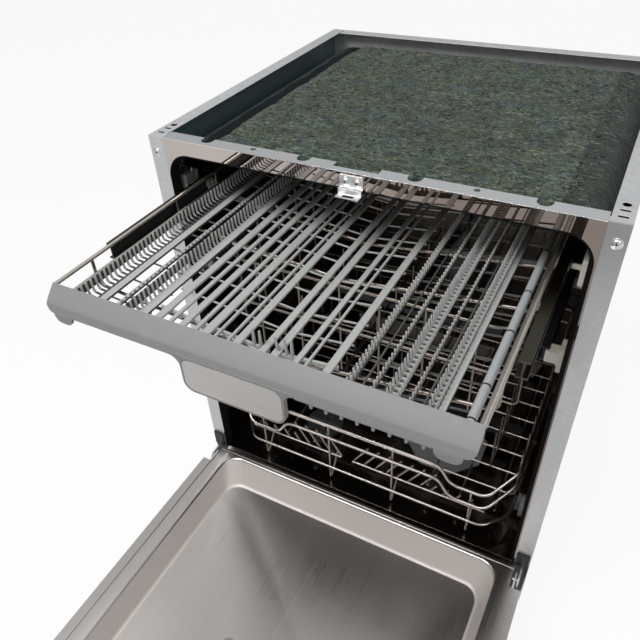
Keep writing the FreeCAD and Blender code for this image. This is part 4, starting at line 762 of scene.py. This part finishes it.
def upperBasket(size):
    curve = wireCurve("upperBasketWires")
    half, cut, top = size["half"], size["chamfer"], size["top"]
    inset = size["rim"] + size["thin"]
    front, back = size["front"], size["back"]
    for z in (top, size["middle"]):
        addWire(curve, ringLoop(half, half - cut, cut, front, back, z), size["rim"], size["rimBend"])
    crossWires(curve, size, front + cut + 2 * inset, back - 2 * inset)
    under = size["floor"] - 2 * size["thin"]
    for x in size["longX"]:
        points = [(x, front + inset, top), (x, front + inset, under), (x, back - inset, under), (x, back - inset, top)]
        addWire(curve, points, size["thin"], size["crossBend"])
    tineRows(curve, size, front + 2 * cut, back - cut)
    # the upper basket's wires take the shaded wire: painted shade under the tray
    piece = newPiece("upperBasketWires", curve, "upper_basket", "basket_steel", shadedWire)
    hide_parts("upper_basket")


upperBasket(upperWires)
print("wire frames made")


def addBlock(shape, x0, x1, y0, y1, z0, z1, bevel=0.0):
    made = bmesh.ops.create_cube(shape, size=1)["verts"]
    low, high = at(x0, y0, z0), at(x1, y1, z1)
    bmesh.ops.scale(shape, vec=high - low, verts=made)
    bmesh.ops.translate(shape, vec=(low + high) / 2, verts=made)
    if bevel:
        edges = list({edge for vert in made for edge in vert.link_edges})
        roundEdges(shape, edges, bevel, clamp=True)


# drum or cone between two points
def addDrum(shape, radius, start, stop, sides, bevel=0.0, tip=None):
    made = bmesh.ops.create_cone(shape, cap_ends=True, segments=sides, radius1=radius * mm,
                                 radius2=(tip or radius) * mm, depth=(stop - start).length)["verts"]
    turn = (stop - start).to_track_quat("Z", "Y").to_matrix()
    bmesh.ops.rotate(shape, cent=(0, 0, 0), matrix=turn, verts=made)
    bmesh.ops.translate(shape, vec=(start + stop) / 2, verts=made)
    if bevel:
        rims = {edge for vert in made for edge in vert.link_edges
                if len(edge.link_faces) == 2 and edge.calc_face_angle(0) > math.radians(rimAngle)}
        roundEdges(shape, list(rims), bevel, clamp=True)
    return made


# half section in mm from the centre, turned once round an axis
def addTurned(shape, section, centre, axis, steps, closed=False):
    ring = [shape.verts.new(centre + Vector(spot) * mm) for spot in section]
    pairs = list(zip(ring, ring[1:])) + ([(ring[-1], ring[0])] if closed else [])
    edges = [shape.edges.new(pair) for pair in pairs]
    bmesh.ops.spin(shape, geom=ring + edges, cent=centre, axis=axis, angle=math.tau, steps=steps, use_merge=True)


# the same turned piece at the left and at the right
def turnedPair(shape, section, startX, centre, steps, closed=False):
    for way in (-1, 1):
        spots = [(way * (startX + depth), 0, out) for out, depth in section]
        addTurned(shape, spots, centre, (1, 0, 0), steps, closed)


def faceOut(shape):
    bmesh.ops.recalc_face_normals(shape, faces=shape.faces)


def closeTurned(shape):
    bmesh.ops.remove_doubles(shape, verts=shape.verts, dist=weld * mm / 2)
    faceOut(shape)


# bearers of the lower basket's wheels: a rounded plate with its axle stub
bearerSize = {"wheelZ": 219.3, "plateX": (247.6, 258.5), "plateBottom": 213.3, "plateTop": 238.6, "half": 9.5,
              "edge": 2.0, "y": (95.0, 395.0), "stub": 2.9, "stubX": (258.0, 266.5), "stubSides": 16}


def wheelBearers(size):
    shape = bmesh.new()
    z = size["wheelZ"]
    for way in (-1, 1):
        x0, x1 = sorted(way * x for x in size["plateX"])
        near, far = (way * x for x in size["stubX"])
        for y in size["y"]:
            addBlock(shape, x0, x1, y - size["half"], y + size["half"], size["plateBottom"], size["plateTop"],
                     size["edge"])
            addDrum(shape, size["stub"], at(near, y, z), at(far, y, z), size["stubSides"])
    sharpen(shape)
    meshPiece("wheelBearers", shape, "lower_basket", "grey_plastic")


wheelBearers(bearerSize)
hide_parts("lower_basket")

# wheels: a tyre with a dished web and a hub, turned from its half section
wheelSize = {"radius": 19.0, "width": 8.0, "startX": 258.8, "axleZ": 219.3, "bore": 3.05, "hub": 6.5,
             "steps": 40}


def wheelPair(node, y, size):
    shape = bmesh.new()
    r, w, hub = size["radius"], size["width"], size["hub"]
    section = [(size["bore"], 0), (hub, 0), (hub + 0.6, 1.4), (r - 4.2, 1.8), (r - 3.4, 0.4), (r - 0.9, 0), (r, 1.0),
               (r, w - 1.0), (r - 0.9, w), (r - 3.4, w - 0.4), (r - 4.2, w - 2.6), (hub + 0.6, w - 2.2), (hub, w),
               (size["bore"], w)]
    turnedPair(shape, section, size["startX"], at(0, y, size["axleZ"]), size["steps"], True)
    closeTurned(shape)
    sharpen(shape, turnedAngle)
    piece = meshPiece(node + ".turned", shape, node, "grey_plastic")
    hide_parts(node)


wheelPair("front_wheels", 95.0, wheelSize)
wheelPair("rear_wheels", 395.0, wheelSize)

# clear rollers on the tub's walls that carry the tray's rails
rollerSize = {"radius": 8.2, "startX": 246.0, "width": 4.0, "y": 30.0, "axleZ": 738.5, "steps": 36}


def rollerPair(size):
    shape = bmesh.new()
    r, w = size["radius"], size["width"]
    section = [(0.0, 1.2), (2.4, 1.2), (2.8, 0), (4.2, 0), (4.6, 1.0), (r - 1.6, 1.0), (r - 1.0, 0), (r - 0.3, 0.2),
               (r, 0.9), (r, w - 0.9), (r - 0.4, w), (0.0, w)]
    turnedPair(shape, section, size["startX"], at(0, size["y"], size["axleZ"]), size["steps"])
    closeTurned(shape)
    sharpen(shape, turnedAngle)
    piece = meshPiece("trayRollers", shape, "tray_wall_rollers", "light_plastic", clearPlastic)
    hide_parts("tray_wall_rollers")


rollerPair(rollerSize)

# tray's side fittings: half-round tube with wire clips
tubeSize = {"x": 219.0, "z": 728.0, "radius": 4.5, "floor": 725.5, "front": -250.5, "back": 195.0,
            "clips": (-226.0, -181.0, -99.0, -27.0, 60.0, 140.0), "clipHalf": 0.9, "clipRise": 0.35, "sides": 28}


def halfTube(shape, size, start, stop, rise):
    ends = [at(size["x"], y, size["z"]) for y in (start, stop)]
    made = addDrum(shape, size["radius"] + rise, *ends, size["sides"])
    parts = list({item for vert in made for item in [vert, *vert.link_edges, *vert.link_faces]})
    cut = bmesh.ops.bisect_plane(shape, geom=parts, plane_co=at(0, 0, size["floor"]), plane_no=(0, 0, 1),
                                 clear_inner=True)["geom_cut"]
    rim = [item for item in cut if isinstance(item, bmesh.types.BMEdge)]
    bmesh.ops.contextual_create(shape, geom=rim)


def sideTube(size):
    shape = bmesh.new()
    halfTube(shape, size, size["front"], size["back"], 0.0)
    faceOut(shape)
    sharpen(shape)
    piece = meshPiece("traySideTube", shape, "tray", "grey_plastic", tubePlastic)
    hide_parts("tray_side_fittings")
    clips = bmesh.new()
    for y in size["clips"]:
        halfTube(clips, size, y - size["clipHalf"], y + size["clipHalf"], size["clipRise"])
    faceOut(clips)
    meshPiece("tubeClips", clips, "tray", "grey_plastic", darkRecess, False)


# shoes in the rails: a clear roller with its ear and axle
shoeSize = {"y": (29.0, 139.0), "length": 22.0, "x": (238.9, 242.7), "z": 738.5, "radius": 8.1,
            "earX": (236.5, 239.0), "earHalf": 4.2, "earEnd": 1.0, "earEdge": 1.0, "axle": 1.5,
            "axleX": (235.2, 242.0), "axleSides": 14, "steps": 32}


def railShoes(size):
    shape = bmesh.new()
    r, z = size["radius"], size["z"]
    w = size["x"][1] - size["x"][0]
    section = [(0.0, 0.9), (2.2, 0.9), (2.6, 0), (3.8, 0), (4.2, 0.8), (r - 1.5, 0.8), (r - 0.9, 0),
               (r - 0.3, 0.15), (r, 0.7), (r, w - 0.7), (r - 0.4, w), (0.0, w)]
    for y in size["y"]:
        middle, half = y + size["length"] / 2, size["length"] / 2 - size["earEnd"]
        turnedPair(shape, section, size["x"][0], at(0, middle, z), size["steps"])
        for way in (-1, 1):
            x0, x1 = sorted(way * x for x in size["earX"])
            near, far = (way * x for x in size["axleX"])
            addBlock(shape, x0, x1, middle - half, middle + half, z - size["earHalf"], z + size["earHalf"],
                     size["earEdge"])
            addDrum(shape, size["axle"], at(near, middle, z), at(far, middle, z), size["axleSides"])
    closeTurned(shape)
    sharpen(shape, turnedAngle)
    meshPiece("railShoes", shape, "tray", "light_plastic", clearPlastic)


sideTube(tubeSize)
railShoes(shoeSize)

# pan-head screws with a washer and a cross recess, the recess a near-black block: painted shade in its hollow
screwSize = {"radius": 4.5, "height": 1.95, "washer": (6.6, 0.5), "cross": (2.3, 0.5), "crossDeep": 0.5,
             "crossProud": 0.04, "steps": 28,
             "places": ((-289.0, 0.0, 792.5), (289.0, 0.0, 792.5), (-7.5, -1.5, 803.5), (7.5, -1.5, 803.5))}


def frameScrews(size):
    shape = bmesh.new()
    r, h = size["radius"], size["height"]
    rim, thin = size["washer"]
    section = [(0.0, h), (r * 0.45, h * 0.97), (r * 0.75, h * 0.8), (r * 0.95, h * 0.5), (r, thin), (rim - 0.3, thin),
               (rim, thin - 0.2), (rim, 0.0)]
    for place in size["places"]:
        addTurned(shape, [(out, -up, 0) for out, up in section], at(*place), (0, 1, 0), size["steps"])
    closeTurned(shape)
    piece = meshPiece("screwHeads", shape, "cabinet", "zinc")
    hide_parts("frame_screws")
    # the cross recess is no hollow: a near-black block just proud of the head, painted shade
    cross = bmesh.new()
    for x, y, z in size["places"]:
        for wide, tall in (size["cross"], size["cross"][::-1]):
            addBlock(cross, x - wide, x + wide, y - h - size["crossProud"], y - h + size["crossDeep"],
                     z - tall, z + tall)
    meshPiece("screwRecess", cross, "cabinet", "zinc", darkRecess, False)


frameScrews(screwSize)
print("turned pieces made")

# comb inserts: slats, cross ribs and rows of teeth, laid flat first and then tipped to the tray's shallow V
insertSize = {
    "front": -250.5, "back": 195.0, "slat": 3.0, "slatEdge": 0.6, "railEdge": 0.5,
    "rib": 1.9, "ribWidth": 2.6, "ribThin": 1.5, "ribLap": 0.2, "ribEdge": 0.3, "seat": 5.0, "ribPitch": 17.5,
    "pitch": 7.2, "firstTooth": 4.0, "lastTooth": 3.0,
    "prongY": -196.1, "prongHeight": 18.0, "prongFoot": 2.2, "prongTip": 1.2, "prongEdge": 0.5,
    "prongSides": 14, "foldAngle": 30.0,
}
toothShapes = {
    "hookLong": [(0, -1.6), (-10, -1.6), (-12.6, -1.0), (-14.0, 0.8), (-14.6, 4), (-15.0, 14.8), (-14.5, 15.4),
                 (-13.8, 15.0), (-13.3, 4.4), (-12.6, 1.8), (-11.2, 0.2), (-9, -0.4), (0, -0.4)],
    "hookShort": [(0, -1.6), (-1.6, -1.6), (-3.0, -0.4), (-3.6, 4), (-4.0, 15.2), (-3.5, 15.9), (-2.8, 15.4),
                  (-2.3, 4.2), (-1.6, 0.6), (0, -0.2)],
    "fork": [(-4.4, -2.8), (4.4, -2.8), (5.6, 5.0), (6.4, 13.4), (5.9, 14.4), (5.2, 13.6), (4.1, 6.0), (2.6, 2.6),
             (0.0, 1.8), (-2.6, 2.6), (-4.1, 6.0), (-5.2, 13.6), (-5.9, 14.4), (-6.4, 13.4), (-5.6, 5.0)],
    "lowFork": [(-3.0, -2.8), (3.0, -2.8), (3.6, 4.0), (4.2, 11.4), (3.8, 12.4), (3.1, 11.6), (2.3, 5.0), (1.4, 2.4),
                (0.0, 1.8), (-1.4, 2.4), (-2.3, 5.0), (-3.1, 11.6), (-3.8, 12.4), (-4.2, 11.4), (-3.6, 4.0)],
    "post": [(-1.4, -0.4), (1.4, -0.4), (1.0, 7.0), (0.5, 7.6), (-0.5, 7.6), (-1.0, 7.0)],
    "nub": [(-1.7, -0.4), (1.7, -0.4), (1.4, 3.8), (-1.4, 3.8)],
}
# slats as left and right edges; rails as middle, width and rise; rows as tooth, the axis its outline lies along,
# middle, thickness and shift; prongs as foot and lean
inserts = {
    "left_comb_insert": {
        "finish": combShaded, "ribShare": 2, "ribSpan": (-207, -143.5),
        "slats": ((-206, -197), (-154.5, -143.5)), "rails": ((-181.5, 5, 0.0), (-208.2, 2.0, -0.6)),
        "rows": (("hookLong", "x", -205.0, 2.5, 0.0), ("hookShort", "x", -154.0, 2.5, 0.0),
                 ("nub", "y", -178.8, 1.3, 0.0)),
    },
    "left_centre_insert": {
        "finish": combPlastic, "ribShare": 1, "ribSpan": (-143, -3), "prongs": ((-21.0, 0.0), (-13.0, 0.0)),
        "slats": ((-135, -126.5), (-118, -113.5), (-105, -97.5), (-87.5, -83), (-77.5, -68), (-63, -60), (-48, -45),
                  (-40.5, -32), (-10.5, -3)),
    },
    "right_centre_insert": {
        "finish": combPlastic, "ribShare": 1, "ribSpan": (3, 78), "prongs": ((9.0, -4.0), (19.0, -2.5), (25.0, 0.0)),
        "slats": ((3, 12.5), (31.5, 38), (45, 48), (67, 76)),
    },
    "right_comb_insert": {
        "finish": combShaded, "ribShare": 2, "ribSpan": (93, 223.5), "slats": ((188.6, 195.5),),
        "rails": ((99.6, 5.6, -0.2), (147, 8.0, -0.4), (112, 2.0, -1.2), (124.5, 2.4, -0.2), (163, 2.0, -0.2),
                  (174.5, 2.0, -1.2), (185, 3, -0.6)),
        "rows": (("post", "y", 98.0, 1.5, 0.0), ("post", "y", 101.2, 1.5, 3.6), ("post", "y", 124.5, 1.5, 3.0),
                 ("fork", "x", 147.0, 2.5, 0.0), ("post", "y", 163.0, 1.2, 1.5), ("lowFork", "x", 185.0, 2.5, 0.0)),
    },
}


# row of one tooth: its outline is pushed out to the thickness, then repeated
def toothRow(shape, outline, along, x, thickness, shift, size):
    start = size["front"] + size["firstTooth"] + shift
    count = int((size["back"] - size["lastTooth"] - start) / size["pitch"]) + 1
    half = thickness / 2
    first = []
    for u, z in outline:
        spot = (x + u, start - half, trayZ + z) if along == "x" else (x - half, start + u, trayZ + z)
        first.append(shape.verts.new(at(*spot)))
    face = shape.faces.new(first)
    grown = bmesh.ops.extrude_face_region(shape, geom=[face])["geom"]
    verts = [item for item in grown if isinstance(item, bmesh.types.BMVert)]
    push = Vector((0, thickness * mm, 0)) if along == "x" else Vector((thickness * mm, 0, 0))
    bmesh.ops.translate(shape, vec=push, verts=verts)
    tooth = list({item for vert in verts + first for item in [vert, *vert.link_edges, *vert.link_faces]})
    for index in range(1, count):
        copy = bmesh.ops.duplicate(shape, geom=tooth)["geom"]
        moved = [item for item in copy if isinstance(item, bmesh.types.BMVert)]
        bmesh.ops.translate(shape, vec=Vector((0, index * size["pitch"] * mm, 0)), verts=moved)


# places of the cross ribs; the centre inserts have one at the front end and at every second place
def ribPlaces(share, size):
    room = size["back"] - size["front"] - size["ribWidth"]
    places = spread(size["front"], size["front"] + room, int(room / (size["ribPitch"] * share)) + 1)
    return places if share > 1 else places[:1] + places[1::2]


def tipToV(shape):
    for vert in shape.verts:
        vert.co.z += abs(vert.co.x) * traySlope


def combInsert(node, plan, size):
    shape = bmesh.new()
    front, back, under = size["front"], size["back"], trayZ - size["slat"]
    for left, right in plan["slats"]:
        addBlock(shape, left, right, front, back, under, trayZ, size["slatEdge"])
    for x, width, rise in plan.get("rails", ()):
        addBlock(shape, x - width / 2, x + width / 2, front, back, under, trayZ + rise, size["railEdge"])
    for y in ribPlaces(plan["ribShare"], size):
        middle = y + size["ribWidth"] / 2
        carried = min(abs(middle - cradle) for cradle in trayWires["cradles"]) < size["ribWidth"]
        wide, tall = (size["ribWidth"], size["seat"]) if carried else (size["ribThin"], size["rib"])
        addBlock(shape, *plan["ribSpan"], middle - wide / 2, middle + wide / 2, under - tall, under + size["ribLap"],
                 size["ribEdge"])
    for kind, *row in plan.get("rows", ()):
        toothRow(shape, toothShapes[kind], *row, size)
    for x, lean in plan.get("prongs", ()):
        foot = at(x, size["prongY"], under)
        tip = at(x + lean, size["prongY"], trayZ + size["prongHeight"])
        addDrum(shape, size["prongFoot"], foot, tip, size["prongSides"], size["prongEdge"], size["prongTip"])
    faceOut(shape)
    tipToV(shape)
    sharpen(shape, size["foldAngle"])
    piece = meshPiece(node + ".comb", shape, "tray", "grey_plastic", plan["finish"])
    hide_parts(node)


for node, plan in inserts.items():
    combInsert(node, plan, insertSize)

# strips that close the left comb rows behind the upper half of their teeth, near-black as painted shade: left, right,
# low and high edge
backSize = {"strips": ((-220.8, -219.9, 4.0, 14.6), (-159.1, -157.9, 3.4, 15.0)), "edge": 0.2}


def combBacks(size, insert):
    shape = bmesh.new()
    for left, right, low, high in size["strips"]:
        addBlock(shape, left, right, insert["front"], insert["back"], trayZ + low, trayZ + high, size["edge"])
    tipToV(shape)
    meshPiece("combBacks", shape, "tray", "grey_plastic", backShadePlastic, False)


combBacks(backSize, insertSize)
print("comb inserts made")

# felt mat laid over the tub: a fine grid wrapped over the shoulder, with ragged edges and a matted surface
feltSize = {"left": -222.0, "front": 24.0, "back": 505.0, "bottom": 798.8, "thickness": 9.5, "wall": 5.2,
            "shoulderX": 277.6, "radius": 38.6, "foot": 702.0, "acrossSteps": 150, "deepSteps": 110,
            "leftTuck": 5.0, "leftFade": 60.0, "frontTuck": 3.0, "backTuck": 4.0, "endFade": 0.08, "leftHem": 14.0,
            "footHem": 10.0, "endHem": 30.0, "hem": 0.35, "loft": 0.86, "gap": 0.6, "lumps": 1.1}


def feltLength(size):
    flat = size["shoulderX"] - size["radius"] - size["left"]
    arc = size["radius"] * math.pi / 2
    drop = size["bottom"] - size["radius"] - size["foot"]
    return flat, arc, flat + arc + drop


def wave(height, *place):
    return noise.noise(Vector(place)) * height


# place on the felt's upper face: u runs across and over the shoulder in mm, v from front to back
def feltSpot(size, u, v, lift=0.0):
    flat, arc, length = feltLength(size)
    ragged = wave(13, 0.3, v * 9, 1.7) + wave(4, 2.3, v * 31, 0.7)
    u = u + (size["leftTuck"] + abs(ragged)) * max(0, 1 - u / size["leftFade"])
    y = size["front"] + v * (size["back"] - size["front"])
    edge = wave(3.0, u * 0.03, 4.4, 2.1) + wave(1.2, u * 0.11, 1.4, 5.1)
    y += (size["frontTuck"] + edge) * max(0, 1 - v / size["endFade"])
    y -= (size["backTuck"] + edge) * max(0, (v - 1 + size["endFade"]) / size["endFade"])
    lump = wave(0.8, u * 0.02, y * 0.02, 0.5) + wave(0.5, u * 0.09, y * 0.09, 3.5) + wave(0.35, u * 0.3, y * 0.3, 7.5)
    border = min(1.0, u / size["leftHem"], (length - u) / size["footHem"], min(v, 1 - v) * size["endHem"])
    full = size["hem"] + (1 - size["hem"]) * math.sqrt(max(0.0, border))
    rise = size["gap"] + size["thickness"] * full * size["loft"] + lump * size["lumps"] * border + lift
    shoulderX, shoulderZ = size["shoulderX"] - size["radius"], size["bottom"] - size["radius"]
    if u < flat:
        return at(size["left"] + u, y, size["bottom"] + rise)
    if u < flat + arc:
        turn = (u - flat) / size["radius"]
        reach = size["radius"] + rise
        return at(shoulderX + reach * math.sin(turn), y, shoulderZ + reach * math.cos(turn))
    return at(size["shoulderX"] + rise, y, shoulderZ - (u - flat - arc))


def feltMat(size):
    shape = bmesh.new()
    bmesh.ops.create_grid(shape, x_segments=size["acrossSteps"], y_segments=size["deepSteps"], size=0.5)
    length = feltLength(size)[2]
    for vert in shape.verts:
        vert.co = feltSpot(size, (vert.co.x + 0.5) * length, vert.co.y + 0.5)
    faceOut(shape)
    if max(shape.faces, key=lambda face: face.calc_center_median().z).normal.z < 0:
        bmesh.ops.reverse_faces(shape, faces=shape.faces)
    piece = meshPiece("feltMat", shape, "cabinet", "felt")
    wall = piece.modifiers.new("wall", "SOLIDIFY")
    wall.thickness = size["wall"] * mm
    wall.offset = -1
    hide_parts("felt_mat")


# loose fibres that stand a little out of the mat
fibreSize = {"count": 7000, "long": (3.5, 8.0), "radius": 0.34, "lift": (0.1, 0.6, 0.1), "bend": (-0.5, 0.5),
             "across": (14.0, 474.0), "deep": (0.02, 0.97), "seed": 11}
fibreColours = ((0.24, 0.27, 0.25), (0.10, 0.13, 0.10), (0.085, 0.12, 0.14), (0.14, 0.14, 0.07),
                (0.012, 0.016, 0.014))


def feltFibres(size, felt):
    draw = random.Random(size["seed"])
    curve = wireCurve("feltFibres")
    curve.bevel_resolution = 0
    for index, colour in enumerate(fibreColours):
        curve.materials.append(looseFibre("looseFibre" + str(index), colour))
    deep = felt["back"] - felt["front"]
    for index in range(size["count"]):
        u, v = draw.uniform(*size["across"]), draw.uniform(*size["deep"])
        turn, long = draw.uniform(0, math.tau), draw.uniform(*size["long"])
        bend = draw.uniform(*size["bend"])
        spline = curve.splines.new("POLY")
        spline.points.add(2)
        spline.material_index = draw.randrange(len(fibreColours))
        for step, (point, lift) in enumerate(zip(spline.points, size["lift"])):
            way = turn + bend * (step - 1)
            reach = long * (step - 1) / 2
            spot = feltSpot(felt, u + reach * math.cos(way), v + reach * math.sin(way) / deep, lift)
            point.co = (*spot, 1)
            point.radius = size["radius"]
    newPiece("feltFibres", curve, "cabinet", "felt")


feltMat(feltSize)
feltFibres(fibreSize, feltSize)
print("felt mat made")

# floor, light and background
stageSetup = {
    "floor": 6.0, "floorGlow": 1.08, "floorSeen": 0.84, "floorMirrored": 0.55,
    "worldLight": 0.30, "glossLow": 0.16, "glossHigh": 0.85, "aim": (0, 100, 700),
    "lamps": (("keyLight", (-500, -1100, 2700), 1.3, 42), ("fillLight", (1700, -900, 1900), 1.4, 10)),
}


def addFloor(setup):
    shape = bmesh.new()
    bmesh.ops.create_grid(shape, x_segments=1, y_segments=1, size=setup["floor"])
    floor = bpy.data.objects.new("paleFloor", meshFrom("paleFloor", shape, False))
    scene.collection.objects.link(floor)
    finish = Finish("paleFloor")
    pale = finish.blendColour(finish.cloud(3.0), (0.62, 0.62, 0.62), (0.66, 0.66, 0.66))
    glow = finish.node("Emission", {}, {"Color": (1, 1, 1, 1), "Strength": setup["floorGlow"]})
    seen = finish.node("LightPath", {}, {}, "Is Camera Ray") * setup["floorSeen"]
    seen = seen + finish.node("LightPath", {}, {}, "Is Glossy Ray") * setup["floorMirrored"]
    mixed = finish.node("MixShader", {}, {0: seen, 1: Wire(finish.tree, finish.shader.outputs[0]), 2: glow})
    plug(finish.tree, mixed, finish.tree.nodes["Material Output"].inputs["Surface"])
    floor.data.materials.append(finish.done(pale, 0.9))


# white where the camera sees it, dimmer on the object, and darker below than above in mirrors
def addWorld(setup):
    world = bpy.data.worlds.new("studio")
    scene.world = world
    world.use_nodes = True
    tree = world.node_tree
    ground = tree.nodes["Background"]
    ground.inputs["Color"].default_value = (1, 1, 1, 1)
    path, place, split = (tree.nodes.new("ShaderNode" + kind) for kind in ("LightPath", "TexCoord", "SeparateXYZ"))
    tree.links.new(place.outputs["Generated"], split.inputs[0])
    height = Wire(tree, split.outputs["Z"])
    seen = Wire(tree, path.outputs["Is Camera Ray"]) + Wire(tree, path.outputs["Is Transmission Ray"])
    shiny = Wire(tree, path.outputs["Is Glossy Ray"])
    light, low = setup["worldLight"], setup["glossLow"]
    mirror = low + (height > 0) * height * (setup["glossHigh"] - low)
    level = light + seen * (1 - light) + shiny * (mirror - light)
    plug(tree, level, ground.inputs["Strength"])


def addLamps(setup):
    for name, place, across, power in setup["lamps"]:
        data = bpy.data.lights.new(name, "AREA")
        data.shape = "DISK"
        data.size = across
        data.energy = power
        lamp = bpy.data.objects.new(name, data)
        scene.collection.objects.link(lamp)
        lamp.location = at(*place)
        lamp.rotation_euler = (at(*setup["aim"]) - lamp.location).to_track_quat("-Z", "Y").to_euler()


addFloor(stageSetup)
addWorld(stageSetup)
addLamps(stageSetup)
scene.view_settings.view_transform = "Standard"
print("stage set")
